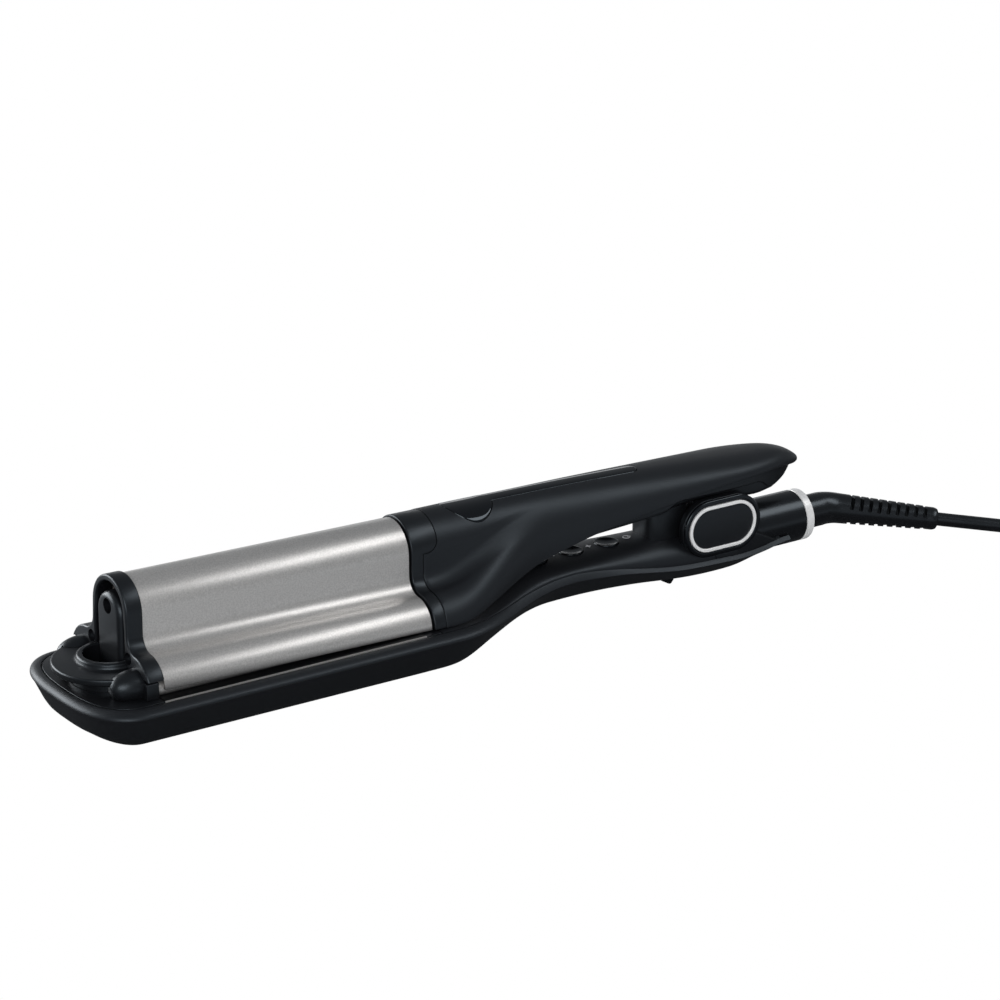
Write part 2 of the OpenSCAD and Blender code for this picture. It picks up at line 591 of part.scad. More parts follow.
// ---- Upper jaw --------------------------------------------------------------------
leg_lean = 2;
lobe_z = tray_h + 3;
side_reach = lobe_y + lobe_r;
hollow_dist = hollow_r + lobe_r;
hollow_a = leg_lean + acos((arch_z * sin(leg_lean) + arch_r + hollow_r
  - lobe_y * cos(leg_lean) - lobe_z * sin(leg_lean)) / hollow_dist);
hollow_y = lobe_y + hollow_dist * cos(hollow_a);
hollow_z = lobe_z + hollow_dist * sin(hollow_a);

// Half of the jaw's section from its top to the skirt's end at low, moved out by off.
function bell(off, low, n = 8) = concat(
  arc(0, arch_z, arch_r + off, 88, leg_lean, n),
  arc(hollow_y, hollow_z, hollow_r - off, 180 + leg_lean, 180 + hollow_a, n - 2),
  arc(lobe_y, lobe_z, lobe_r + off, hollow_a * (1 - 1 / n), 0, n - 1),
  low < lobe_z ? [[side_reach + off, low]] : []);
function both(half) = concat([for (i = [len(half) - 1 : -1 : 0]) half[i]],
  [for (p = half) [-p[0], p[1]]]);
module bell_band(off, t, low) polygon(concat(both(bell(off, low)),
  [for (p = both(bell(off - t, low))) [-p[0], p[1]]]));

module upper_plate() color("#c4c6cb") place() on_jaw()
  along_x(plate_x, collar_x) bell_band(-plate_step, plate_t, skirt_z);

open_r = 11;
frame_low = dial_z - 0.6;
frame_screw_y = arch_r + 1.2;
frame_screw_z = dial_z + 4.6;
module front_frame() color("#1b1c20") place() difference() {
  on_jaw() difference() {
    union() {
      along_x(frame_x, plate_x - 0.6) polygon(both(bell(-0.8, lobe_z - 1)));
      along_x(frame_x + 0.6, plate_x) polygon(both(bell(0, lobe_z - 1)));
    }
    translate([0, -50, frame_low - 40]) cube([30, 100, 40]);
    along_x(0, 30) polygon(concat([[open_r + 1.2, 0], [open_r + 1, arch_z - 6]],
      arc(0, arch_z + 0.5, open_r, 0, 180, 24), [[-open_r - 1, arch_z - 6], [-open_r - 1.2, 0]]));
    for (s = [-1, 1]) translate([0, s * frame_screw_y, 0]) {
      x_bar(0, frame_x + 3, screw_head_r - 0.4, screw_head_r - 0.4, frame_screw_z);
      x_bar(0, plate_x + 1, screw_r, screw_r, frame_screw_z);
    }
  }
  cylinder(r = dial_r + 0.5, h = dial_z + run_gap, $fn = 96);
  cylinder(r = dial_bore_r + 3.4, h = dial_z + dial_lip_h + run_gap);
}
module frame_screws() color("#8d9096") place() on_jaw() for (s = [-1, 1])
  translate([0, s * frame_screw_y, 0]) {
    x_bar(frame_x + 1.8, frame_x + 3, screw_head_r - 0.5, screw_head_r - 0.5, frame_screw_z);
    x_bar(frame_x + 2.8, plate_x - 0.5, screw_r - 0.05, screw_r - 0.05, frame_screw_z);
  }

module upper_heater() color("#b5a27a") place() on_jaw() along_x(plate_x + 8, collar_x - 10)
  polygon(concat(arc(0, arch_z, arch_r - plate_step - plate_t - fit_gap, 35, 145, 14),
    arc(0, arch_z, arch_r - plate_step - plate_t - 0.9, 145, 35, 14)));

// The collar's round tab laps back into the top of the arm.
tab_z = arch_z + 5;
tab_r = 6.5;
module tab(gap) along_y(-20, 20) {
  translate([arm_x + 1.2, tab_z]) circle(r = tab_r + gap);
  translate([collar_x, tab_z - tab_r - gap]) square([arm_x + 1.2 - collar_x, 40]);
  translate([collar_x, tab_z]) square([arm_x + 4.6 + gap - collar_x, 40]);
}
module along_y(y0, y1) translate([0, y1, 0]) rotate([90, 0, 0]) linear_extrude(height = y1 - y0)
  children();
module rear_collar() color("#202126") place() on_jaw() {
  along_x(collar_x, arm_x - fit_gap) bell_band(0, 2.4, skirt_z + 0.1);
  along_x(collar_x + 2, collar_x + 4) difference() {
    polygon(both(bell(-2.3, lobe_z - 0.5)));
    translate([-50, -20]) square([100, handle_top + 20]);
  }
  intersection() {
    along_x(collar_x + 1, arm_x + 10) bell_band(0, 2.4, skirt_z);
    tab(0);
  }
}

// ---- Arm --------------------------------------------------------------------------
arm_end = hinge_x + tail_len;
arm_xs = concat([arm_x], steps(arm_x + 6, grip_x, 8), steps(grip_x + 13, hinge_x - 2, 5));
tail_xs = concat(steps(hinge_x + 8, hinge_x + 32, 3), steps(hinge_x + 38, arm_end - 2.5, 3), [arm_end]);
super_power = 2.4;
function local_z(x, z) = z + nose_sink - (hinge_x - x) * sin(jaw_slope);
function arm_half(x) = x < hinge_x + 8 ? blend(side_reach, arm_w / 2, shoulder_x, grip_x, x)
  : max(0.8, arm_w / 2 * (1 - pow((x - hinge_x - 8) / (tail_len - 8), 1.4)));
function arm_edge(x) = spline(x, [[arm_x, 19.2], [arm_x + 12, 19.4], [arm_x + 24, 22.4],
  [grip_x - 12, 30.2], [grip_x + 4, 34.3], [grip_x + 22, 38], [hinge_x - 32, 42.3],
  [hinge_x, 45.6], [hinge_x + 17, 46.6], [hinge_x + 34, 46.2], [arm_end, 44]]);
function arm_crest(x) = spline(x, [[arm_x, arch_z + arch_r - nose_sink + (hinge_x - arm_x)
  * sin(jaw_slope)], [grip_x - 15, arm_top + 2.4], [grip_x + 16, arm_top + 2],
  [hinge_x - 28, arm_top + 1.3], [hinge_x + 3, arm_top], [hinge_x + 24, arm_top - 1.5],
  [hinge_x + 36, arm_top - 2.9], [hinge_x + 46, arm_top - 6.6], [arm_end, arm_top - 10.4]]);

// Half sections that the arm blends between, both in units of half width and height.
arm_bell = bell(0, local_z(arm_x, 19.2), 5);
arm_n = len(arm_bell) - 1;
bell_unit = [for (p = arm_bell) [p[0] / side_reach,
  (p[1] - arm_bell[arm_n][1]) / (arch_z + arch_r - arm_bell[arm_n][1])]];
super_unit = [for (i = [0 : arm_n]) let (t = 87 * (1 - i / arm_n))
  [pow(cos(t), 2 / super_power), pow(sin(t), 2 / super_power)]];
function arm_half_ring(x) = let (s = ease((x - arm_x) / (grip_x - arm_x)), w = arm_half(x),
  low = local_z(x, arm_edge(x)), h = local_z(x, arm_crest(x)) - low)
  [for (i = [0 : arm_n]) let (p = (1 - s) * bell_unit[i] + s * super_unit[i]) [w * p[0], low + h * p[1]]];
// The same half section moved inward by d, with its edge lowered.
function inset(q, d, low) = [for (i = [0 : len(q) - 1]) let (
  a = i == 0 ? [-q[0][0], q[0][1]] : q[i - 1], b = i == len(q) - 1 ? q[i] - [0, 1] : q[i + 1],
  t = (b - a) / norm(b - a)) [max(q[i][0] + d * t[1], 0.3),
  q[i][1] - d * t[0] - (i == len(q) - 1 ? low : 0)]];
module arm_loft(xs, d = 0, low = 0, lead = 0) loft([for (i = [0 : len(xs) - 1])
  let (x = xs[i], q = d == 0 ? arm_half_ring(x) : inset(arm_half_ring(x), d, low))
  ring_of([for (p = q) [x - (i == 0 ? lead : 0), p[0], p[1]]])]);

inlay_x = arm_x + 30;
inlay_r = 13;
inlay_end = hinge_x - 37;
inlay_half = 5;
inlay_t = 0.6;
module inlay_plan(gap) translate([0, 0, arch_z - 8]) linear_extrude(height = 40) {
  translate([inlay_x, 0]) circle(r = inlay_r + gap, $fn = 64);
  translate([inlay_x, -inlay_half - gap])
    square([inlay_end - inlay_half - inlay_x, 2 * inlay_half + 2 * gap]);
  translate([inlay_end - inlay_half, 0]) circle(r = inlay_half + gap);
}

module arm_shell() color("#26272b") place() on_jaw() difference() {
  arm_loft(concat(arm_xs, tail_xs));
  arm_loft([for (x = concat(arm_xs, tail_xs)) if (x < hinge_x + 37) x], arm_wall, 4, 2);
  tab(fit_gap);
  difference() {
    inlay_plan(fit_gap);
    arm_loft([for (x = arm_xs) if (x < hinge_x - 10) x], inlay_t);
  }
}
module gloss_inlay() color("#0d0e10") place() on_jaw() difference() {
  intersection() {
    inlay_plan(0);
    arm_loft([for (x = arm_xs) if (x < hinge_x - 10) x]);
  }
  arm_loft([for (x = arm_xs) if (x < hinge_x - 10) x], inlay_t, 0, 2);
}

cover_end = hinge_x + 42;
cover_low_pts = [[arm_x + 2, 21], [arm_x + 14, 21.2], [arm_x + 24, 24], [grip_x - 12, 31.2],
  [grip_x + 6, 34.8], [grip_x + 22, 37.3], [hinge_x - 32, 39.6], [hinge_x - 14, 39.9],
  [hinge_x, 38.8], [hinge_x + 19, 35.6], [hinge_x + 30, 37.3], [hinge_x + 37, 39.8],
  [cover_end, 43]];
function cover_low(x) = local_z(x, spline(x, cover_low_pts));
function cover_half(x) = min(arm_half(x) - arm_wall - 0.5 - blend(1.8, 0, arm_x + 10, grip_x, x)
  - blend(0, 0.9, hinge_x + 24, cover_end, x),
  x > hinge_x - 24 && x < hinge_x + 22 ? cheek_in - run_gap : 100);
cover_xs = concat([arm_x + 2], steps(arm_x + 6, grip_x, 8), steps(grip_x + 13, hinge_x - 25, 4),
  steps(hinge_x - 23.5, hinge_x + 21.5, 6), steps(hinge_x + 23, cover_end, 5));
module arm_cover_loft(xs, d, up) loft([for (x = xs) let (w = cover_half(x) - d, z = cover_low(x) + d)
  ring_of([[x, w, max(local_z(x, arm_edge(x)) + blend(1.5, -0.5, hinge_x + 26, hinge_x + 32, x),
    z + 1.8) + up], [x, w, z + 1.6], [x, w - 1.6, z]])]);
bracket_top = 44.4;
module arm_cover() color("#2b2c31") place() on_jaw() difference() {
  arm_cover_loft(cover_xs, 0, 0);
  arm_cover_loft([for (x = cover_xs) if (x > arm_x + 3 && x < cover_end - 3) x], 1.8, 8);
  translate([hinge_x - 10, -lug_out - slide_gap, 30 + nose_sink])
    cube([20, 2 * (lug_out + slide_gap), 20]);
}

// Two lugs on a plate under the arm turn on the hinge pin.
module hinge_bracket() color("#7c7f86") place() difference() {
  union() {
    for (s = [-1, 1]) side(s) along_y(lug_in, lug_out) {
      translate([hinge_x, hinge_z]) circle(r = knuckle_r);
      polygon([[hinge_x - knuckle_r, hinge_z], [hinge_x + knuckle_r, hinge_z],
        [hinge_x + 9, bracket_top - 1], [hinge_x - 9, bracket_top - 1]]);
    }
    translate([hinge_x - 9, -lug_out, bracket_top - 3]) cube([18, 2 * lug_out, 3]);
  }
  y_bar(hinge_x, hinge_z, pin_r + pin_gap, -20, 20);
}

// ---- Controls ---------------------------------------------------------------------
switch_top = board_z + board_t + switch_h;
module button(x) color("#17181b") place() translate([x, 0, 0]) difference() {
  union() {
    translate([0, 0, switch_top + button_travel + 0.1])
      cylinder(r = button_d / 2, h = handle_top + 0.4 - switch_top - button_travel - 0.1);
    translate([0, 0, switch_top + button_travel + 0.1]) cylinder(r = button_d / 2 + 0.9, h = 1.4);
  }
  translate([0, 0, handle_top + 0.4 + dish_r - dish_d]) sphere(r = dish_r, $fn = 96);
}
dish_d = 0.9;
dish_r = (pow(button_d / 2 - 0.5, 2) + dish_d * dish_d) / (2 * dish_d);
module power_button() button(buttons[0]);
module plus_button() button(buttons[1]);
module minus_button() button(buttons[2]);

mark_t = 0.2;
mark_x = button_d / 2 + 5.2;
module mark(x) translate([x, 0, cover_top(x)]) linear_extrude(height = mark_t) children();
module button_symbols() color("#c8cacd") place() {
  mark(buttons[0] + mark_x) {
    difference() {
      circle(r = 1.7, $fn = 32);
      circle(r = 1.3, $fn = 32);
      translate([0.4, -0.6]) square([2, 1.2]);
    }
    translate([0.5, -0.2]) square([1.6, 0.4]);
  }
  mark(buttons[1] + mark_x - 1.4) {
    square([2.6, 0.5], center = true);
    square([0.5, 2.6], center = true);
  }
  mark(buttons[2] + mark_x - 1.4) square([0.5, 2.6], center = true);
}

lock_neck = 3;
lock_neck_y = 3.2;
lock_y = 7;
module lock_slider() color("#17181b") place() translate([lock_x, 0, 0]) {
  along_y(-lock_y, lock_y) polygon([[-6.5, 3], [4.6, 1.4], [6, 1.8], [6, 3.4], [-6.5, 3.6]]);
  translate([-lock_neck, -lock_neck_y, 3]) cube([2 * lock_neck, 2 * lock_neck_y, lock_plate_z - 2.5]);
  translate([-8, -lock_y + 1, lock_plate_z]) cube([12, 2 * lock_y - 2, 1.4]);
}
lock_plate_z = base_z(lock_x - 8) + floor_z + run_gap;

// ---- Lead -------------------------------------------------------------------------
// The strain relief leaves the ring straight, bends once and tapers to the cord.
bend_r = 16;
relief_end_r = 5.1;
bend_cut = bend_r * tan(relief_bend / 2);     // what the bend's arc takes off each leg
bend_x = ring_end + relief_neck - bend_cut;
straight_len = relief_len - bend_cut;
function relief_side(p) = [p[0], -p[1] * cos(relief_roll), barrel_z - p[1] * sin(relief_roll)];
function relief_pt(s) = relief_side(s <= 0 ? [bend_x + s * (bend_x - ring_end), 0]
  : s < 1 ? [bend_x + bend_r * sin(s * relief_bend), bend_r * (1 - cos(s * relief_bend))]
  : [bend_x + bend_r * sin(relief_bend) + (s - 1) * straight_len * cos(relief_bend),
     bend_r * (1 - cos(relief_bend)) + (s - 1) * straight_len * sin(relief_bend)]);
function relief_dir(s) = let (a = relief_bend * clamp(s))
  [cos(a), -sin(a) * cos(relief_roll), -sin(a) * sin(relief_roll)];
relief_slots = 8;
function relief_r(s) = s <= 1 ? neck_r - 0.7 * clamp(s)
  : neck_r - 0.7 + (relief_end_r - neck_r + 0.7) * (s - 1);

// Skins round sections of radius r about each point, square to its direction.
module sweep(points, dirs, radii, n) {
  rings = [for (i = [0 : len(points) - 1]) let (u = cross([0, 0, 1], dirs[i]), v = u / norm(u),
    w = cross(dirs[i], v)) [for (a = steps(0, 360 - 360 / n, n - 1))
    points[i] + radii[i] * (cos(a) * v + sin(a) * w)]];
  m = len(rings);
  polyhedron([for (r = rings) each r], concat([[for (j = [0 : n - 1]) j]],
    [for (i = [0 : m - 2], j = [0 : n - 1]) let (a = i * n + j, b = i * n + (j + 1) % n)
      each [[a, a + n, b + n], [a, b + n, b]]],
    [[for (j = [n - 1 : -1 : 0]) (m - 1) * n + j]]));
}
relief_s = concat([-1, 0], steps(0.25, 1, 3), steps(1.14, 2, 6));
module strain_relief() color("#17181b") place() {
  difference() {
    sweep([for (s = relief_s) relief_pt(s)], [for (s = relief_s) relief_dir(s)],
      [for (s = relief_s) relief_r(s)], 24);
    for (i = [0 : relief_slots - 1], side = [-1, 1])
      translate(relief_pt(1.2 + 0.6 * i / (relief_slots - 1)))
        rotate([relief_roll, 0, 0]) rotate([0, 0, -relief_bend])
          translate([-0.8, -5, side > 0 ? 3.2 : -9.2]) cube([1.6, 10, 6]);
  }
  translate(relief_pt(1.32) + [0, 8.2, 1.5]) difference() {
    translate([0, 0, -1.3]) cylinder(r = 5.6, h = 2.6);
    translate([0, 0, -2]) cylinder(r = 3, h = 4);
    translate([-20, -20 - 3.4, -2]) cube([40, 20, 4]);
  }
}
module swivel_ball() color("#3a3c42") place() {
  x_bar(flange_x + run_gap, ring_x - run_gap, flange_r, flange_r, barrel_z);
  x_bar(flange_x + 1, ring_end, neck_r, neck_r, barrel_z);
}

coil_c = [339.6, -30.3];                    // centre of the put-away coil, in the row's frame
coil_mid_r = 34;
coil_half = 2 * cord_d;
exit_route = [[254.5, -30.5, 7.9], [264, -36, 6.4], [273.5, -41.5, 4.9], [280.5, -45.6, 3.9],
  [288.5, -50.2, 3.25], [297.3, -55.35, 3.1]];
tail_angle = 185;                           // where the lead leaves the coil, over its own top
tail_turn_r = 33.5;
function coil_pt(x, y, z) = [coil_c[0] + x * cos(tail_angle) - y * sin(tail_angle),
  coil_c[1] + x * sin(tail_angle) + y * cos(tail_angle), z];
tail_route = concat([coil_pt(40, 1, 14.35)], [for (a = [0 : 12 : 180])
  coil_pt(40 - tail_turn_r + tail_turn_r * cos(a), 6 + tail_turn_r * sin(a), 14.35 + a / 300)]);
function dirs_of(p) = [for (i = [0 : len(p) - 1])
  let (d = p[min(i + 1, len(p) - 1)] - p[max(i - 1, 0)]) d / norm(d)];
module cord_run(points) sweep(points, dirs_of(points), [for (p = points) cord_d / 2], 12);
module cord() color("#141517") {
  cord_run(concat([relief_pt(2.012) + [dial_x, 0, 0]], exit_route));
  cord_run(tail_route);
}
module coil_section(gap = 0) polygon([[coil_mid_r - coil_half + 2 - gap, -gap],
  [coil_mid_r + coil_half - 2 + gap, -gap], [coil_mid_r + coil_half + gap, 2],
  [coil_mid_r + coil_half + gap, 5], [coil_mid_r + coil_half - 2.5 + gap, 11.2 + gap],
  [coil_mid_r - coil_half + 2.5 - gap, 11.2 + gap], [coil_mid_r - coil_half - gap, 5],
  [coil_mid_r - coil_half - gap, 2]]);
module cord_coil() color("#141517") translate([coil_c[0], coil_c[1], 0]) difference() {
  rotate_extrude($fn = 72) coil_section();
  rotate([0, 0, tie_angle]) translate([0, -4, -1]) cube([60, 8, 2.1]);
}
tie_angle = 110;
module coil_tie() color("#26272b") translate([coil_c[0], coil_c[1], 0]) rotate([0, 0, tie_angle])
  along_y(-3.5, 3.5) difference() {
    translate([coil_mid_r - coil_half - 1.6, 0]) square([2 * coil_half + 3.2, 12.4]);
    translate([coil_mid_r - coil_half - 0.6, 1]) square([2 * coil_half + 1.2, 10.4]);
  }

plug_at = coil_pt(40 - 2 * tail_turn_r, 5.7, 18.3);
module on_plug() translate(plug_at) rotate([0, 0, tail_angle + 180]) children();
module plug() color("#141517") on_plug() difference() {
  rotate([-90, 0, 0]) union() {
    translate([0, 3, 0]) cylinder(r1 = 3.9, r2 = 4, h = 9);
    translate([0, 0, 8]) linear_extrude(height = 29, scale = [1, 1]) stadium(10.6, 7);
  }
  for (s = [-1, 1]) translate([s * 9.5, 36, 0]) rotate([-90, 0, 0]) cylinder(r = 2, h = 4, $fn = 24);
}
module plug_pins() color("#c9cbd0") on_plug() for (s = [-1, 1]) translate([s * 9.5, 36, 0])
  rotate([-90, 0, 0]) cylinder(r = 2, h = 20, $fn = 24);

// ---- Output -----------------------------------------------------------------------
lower_shell();
deck();
dial_bearing();
side_barrel_left();
side_barrel_right();
nose_cap_left();
nose_cap_right();
handle_cover();
hinge_housing();
pivot_cap_left();
pivot_cap_right();
trim_ring_left();
trim_ring_right();
trim_plate_left();
trim_plate_right();
hinge_pin();
torsion_spring();
rear_barrel();
end_ring();
circuit_board();
terminal_block();
lower_heaters();
case_screws();
button_symbols();
dial_ring();
cam_sleeve();
centre_barrel();
centre_cap();
centre_heater();
lift_pin();
cap_screw();
upper_plate();
front_frame();
frame_screws();
rear_collar();
upper_heater();
arm_shell();
arm_cover();
gloss_inlay();
hinge_bracket();
power_button();
plus_button();
minus_button();
lock_slider();
swivel_ball();
strain_relief();
cord();
cord_coil();
coil_tie();
plug();
plug_pins();
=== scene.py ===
"""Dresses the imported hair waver: smooth covers, plated jaws, handle, hinge pod and mains lead."""

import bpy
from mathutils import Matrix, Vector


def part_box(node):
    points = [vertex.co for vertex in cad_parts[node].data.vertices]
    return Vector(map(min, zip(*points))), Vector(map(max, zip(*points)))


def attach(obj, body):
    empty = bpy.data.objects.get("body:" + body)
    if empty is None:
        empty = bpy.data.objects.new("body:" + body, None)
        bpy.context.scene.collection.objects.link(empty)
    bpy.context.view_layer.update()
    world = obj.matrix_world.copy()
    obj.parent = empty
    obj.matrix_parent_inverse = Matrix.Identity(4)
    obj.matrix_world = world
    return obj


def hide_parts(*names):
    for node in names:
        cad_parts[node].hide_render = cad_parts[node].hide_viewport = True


bl_info = {
    "name": "Hair Waver",
    "version": (1, 0, 0),
    "blender": (4, 5, 0),
    "location": "3D View > Sidebar > Hair Waver",
    "description": "Dresses the packed hair waver and sets up its studio",
    "category": "Object",
}

from math import acos, atan2, cos, pi, radians, sin, sqrt, tan

import bmesh
import bpy
from bpy.props import FloatProperty, FloatVectorProperty, IntProperty, PointerProperty
from mathutils import Matrix, Vector

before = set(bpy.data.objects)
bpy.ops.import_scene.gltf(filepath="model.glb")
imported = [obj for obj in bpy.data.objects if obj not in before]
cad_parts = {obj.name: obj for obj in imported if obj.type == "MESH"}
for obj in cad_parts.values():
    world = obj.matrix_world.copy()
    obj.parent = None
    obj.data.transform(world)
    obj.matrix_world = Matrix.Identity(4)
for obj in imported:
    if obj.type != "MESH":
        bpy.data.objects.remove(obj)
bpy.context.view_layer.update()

MM = 0.001

# Stations along the length in millimetres, from the dial's axis, and heights above the table.
DIAL_AT = -161.175
FRAME_X, PLATE_X, COLLAR_X, ARM_X = 1.0, 7.8, 135.0, 140.8
SHOULDER_X, GRIP_X, HINGE_X = 144.0, 207.0, 293.6
SHELL_END, RING_X, RING_END = 333.6, 344.0, 348.1
TAIL_X, ARM_END = HINGE_X + 8, HINGE_X + 51.8
BUTTONS, BUTTON_R = (("minus", 206.1), ("plus", 224.7), ("power", 243.3)), 5.5
TRAY_H, DIAL_Z, ARCH_Z, HINGE_Z, BARREL_Z, SKIRT_Z = 18.6, 27.0, 48.0, 27.1, 16.4, 22.0
DIAL_R, DIAL_ROOM, BEARING_R, BARREL_R, STRIP_Y = 24.0, 24.5, 16.6, 11.7, 34.8
HALF_TRAY, HALF_GRIP, HALF_ARM = 35.5, 16.5, 16.3
RIM, RIM_DROP, DECK = 5.5, 3.0, 2.2
NOSE_BACK, NOSE_REACH, NOSE_POWER = 0.7, 21.2, 2.72
ARCH_R, LOBE_R, LOBE_Y, LOBE_Z, HOLLOW_R, LEAN = 14.2, 12.4, 20.2, 21.6, 6.8, 2.0
JAW_SLOPE = radians(1.15)
NOSE_SINK = (HINGE_X - FRAME_X - 3.4) * sin(JAW_SLOPE)
CHEEK_HALF, CHEEK_R, CHEEK_Y, SEAT_Y = 7.4, 12.9, 17.0, 15.2
TRIM_R = CHEEK_R - 2.55
INLAY_X, INLAY_R, INLAY_HALF, INLAY_END = ARM_X + 29.3, 11.5, 3.9, HINGE_X - 36
ARM_POWER = 2.4


# ---- Lines of the body ----

def clamp(t):
    return min(1.0, max(0.0, t))


def ease(t):
    u = clamp(t)
    return u * u * (3 - 2 * u)


def between(a, b, x0, x1, x):
    return a + (b - a) * ease((x - x0) / (x1 - x0))


def steps(a, b, n):
    return [a + (b - a) * i / n for i in range(n + 1)]


def through(x, pts):
    """Height at x of a smooth curve through (x, height) points."""
    i = 0
    while i < len(pts) - 2 and x > pts[i + 1][0]:
        i += 1

    def slope(k):
        if k == 0 or k == len(pts) - 1:
            return 0.0
        return (pts[k + 1][1] - pts[k - 1][1]) / (pts[k + 1][0] - pts[k - 1][0])

    (x0, a), (x1, b) = pts[i], pts[i + 1]
    h = x1 - x0
    t = clamp((x - x0) / h)
    e = ease(t)
    return (1 - e) * a + e * b + h * t * (1 - t) * ((1 - t) * slope(i) - t * slope(i + 1))


def half_width(x):
    """Half width of the tray and the handle at the parting line."""
    taper = between(0, 5, HINGE_X + 6, SHELL_END + 2, x)
    return between(HALF_TRAY, HALF_GRIP, SHOULDER_X, GRIP_X, x) - taper


def parting(x):
    """Height of the line where the shell meets its covers."""
    return TRAY_H + through(x, [
        (GRIP_X - 35, 0), (GRIP_X - 10, 1.1), (GRIP_X + 1, 2.3), (GRIP_X + 11, 2.7), (HINGE_X - 57, 0.5),
        (HINGE_X - 38, -3), (HINGE_X - 22, -5.3), (HINGE_X, -6.4), (HINGE_X + 23, -6.8), (SHELL_END, -5.7)])


def rim(x):
    """How far the rounded rim stands out from the half width."""
    return RIM * (1 - 0.71 * ease((x - SHOULDER_X) / 63))


def rim_fall(x):
    """How far the rim falls from the parting line."""
    return RIM_DROP * (1 - 0.48 * ease((x - GRIP_X - 10) / 40))


def underside(x):
    """Height of the shell's underside above the table."""
    return through(x, [
        (SHOULDER_X - 10, 0), (SHOULDER_X + 4, 0.7), (SHOULDER_X + 22, 4.6), (GRIP_X - 18, 6.9),
        (GRIP_X + 14, 7.9), (HINGE_X - 45, 6.9), (HINGE_X - 14, 4), (HINGE_X + 8, 3.9),
        (HINGE_X + 24, 6), (SHELL_END, 9)])


def underside_in(x):
    """How far the flat underneath stays inside the half width."""
    return between(0.3, 2.4, SHOULDER_X, GRIP_X, x)


def cover_top(x):
    """Height of the handle cover's crown."""
    return through(x, [(ARM_X + 8, TRAY_H + 0.3), (ARM_X + 22, TRAY_H + 0.9), (GRIP_X - 8, 24.2),
                       (GRIP_X + 10, 25), (HINGE_X - 20, 25)])


def squared(phi, power):
    """Cosine and sine shares at direction phi of a squared-off ellipse."""
    if phi >= radians(89.99):
        return 0.0, 1.0
    t = atan2(tan(phi) ** (power / 2), 1)
    return cos(t) ** (2 / power), sin(t) ** (2 / power)


def nose_point(phi, off, ahead):
    """Plan point of the tray's round end, set out sideways by off and forward by ahead."""
    c, s = squared(phi, NOSE_POWER)
    return -NOSE_BACK - (NOSE_REACH + ahead) * s, (HALF_TRAY + off) * c


def in_jaw(x, z):
    """Height in the level jaw of a height z above the table at station x."""
    return z + NOSE_SINK - (HINGE_X - x) * sin(JAW_SLOPE)


def arm_half(x):
    """Half width of the arm, which ends in a round tail."""
    if x < TAIL_X:
        return between(LOBE_Y + LOBE_R, HALF_ARM, SHOULDER_X, GRIP_X, x)
    return max(0.1, HALF_ARM * (1 - clamp((x - TAIL_X) / 43.9) ** 2.0) ** 0.74)


def arm_edge(x):
    """Height of the arm's lower edge on its shell."""
    return through(x, [
        (ARM_X, 19.2), (ARM_X + 12, 19.4), (ARM_X + 24, 22.4), (GRIP_X - 12, 30.2), (GRIP_X + 4, 33.8),
        (GRIP_X + 20, 37.3), (HINGE_X - 32, 42.2), (HINGE_X, 45.6), (HINGE_X + 17, 46.6),
        (HINGE_X + 34, 46.2), (ARM_END, 43.4)])


def arm_crest(x):
    """Height of the arm's top line."""
    front = ARCH_Z + ARCH_R - NOSE_SINK + (HINGE_X - ARM_X) * sin(JAW_SLOPE)
    top = 55.6
    return through(x, [
        (ARM_X, front), (GRIP_X - 15, top + 2.8), (GRIP_X + 16, top + 2), (HINGE_X - 28, top + 0.3),
        (HINGE_X + 3, top - 1.2), (HINGE_X + 24, top - 2.4), (HINGE_X + 36, top - 3.5),
        (HINGE_X + 43, top - 5.4), (HINGE_X + 48, top - 8.2), (ARM_END, top - 11.6), (ARM_END + 2, top - 16)])


def cover_low(x):
    """Height of the underside of the arm's cover."""
    return through(x, [
        (ARM_X + 2, 21), (ARM_X + 14, 21.2), (ARM_X + 24, 24), (GRIP_X - 12, 31.2), (GRIP_X + 6, 34.8),
        (GRIP_X + 22, 35.8), (HINGE_X - 32, 37.6), (HINGE_X - 14, 38.9), (HINGE_X, 38.6),
        (HINGE_X + 19, 35.6), (HINGE_X + 30, 36.8), (HINGE_X + 39, 39.1), (HINGE_X + 48.6, 41.8)])


HOLLOW_AT = LOBE_R + HOLLOW_R
HOLLOW_A = radians(LEAN) + acos((ARCH_Z * sin(radians(LEAN)) + ARCH_R + HOLLOW_R
                                 - LOBE_Y * cos(radians(LEAN)) - LOBE_Z * sin(radians(LEAN))) / HOLLOW_AT)
HOLLOW = (LOBE_Y + HOLLOW_AT * cos(HOLLOW_A), LOBE_Z + HOLLOW_AT * sin(HOLLOW_A))


def arc(cy, cz, r, a0, a1, n):
    return [(cy + r * cos(a), cz + r * sin(a)) for a in steps(a0, a1, n)]


def bell(off, low, n=28):
    """Half of the jaw's section, from its top down to the skirt's lower end."""
    lean = radians(LEAN)
    pts = arc(0, ARCH_Z, ARCH_R + off, pi / 2, lean, n)
    pts += arc(HOLLOW[0], HOLLOW[1], HOLLOW_R - off, pi + lean, pi + HOLLOW_A, n // 2)
    pts += arc(LOBE_Y, LOBE_Z, LOBE_R + off, HOLLOW_A, 0, n)[1:]
    if low < LOBE_Z:
        return pts + [(LOBE_Y + LOBE_R + off, low)]
    kept = []
    for a, b in zip(pts, pts[1:]):
        kept.append(a)
        if b[1] < low:
            return kept + [(a[0] + (b[0] - a[0]) * (a[1] - low) / (a[1] - b[1]), low)]
    return pts


PARTS = 14
CROWN, WAIST, HOLLOWED = 5 / PARTS, 6 / PARTS, 9 / PARTS
ARM_SHARES = (steps(0, CROWN, 26) + steps(CROWN, WAIST, 4)[1:] + steps(WAIST, HOLLOWED, 12)[1:]
              + steps(HOLLOWED, 1, 22)[1:])


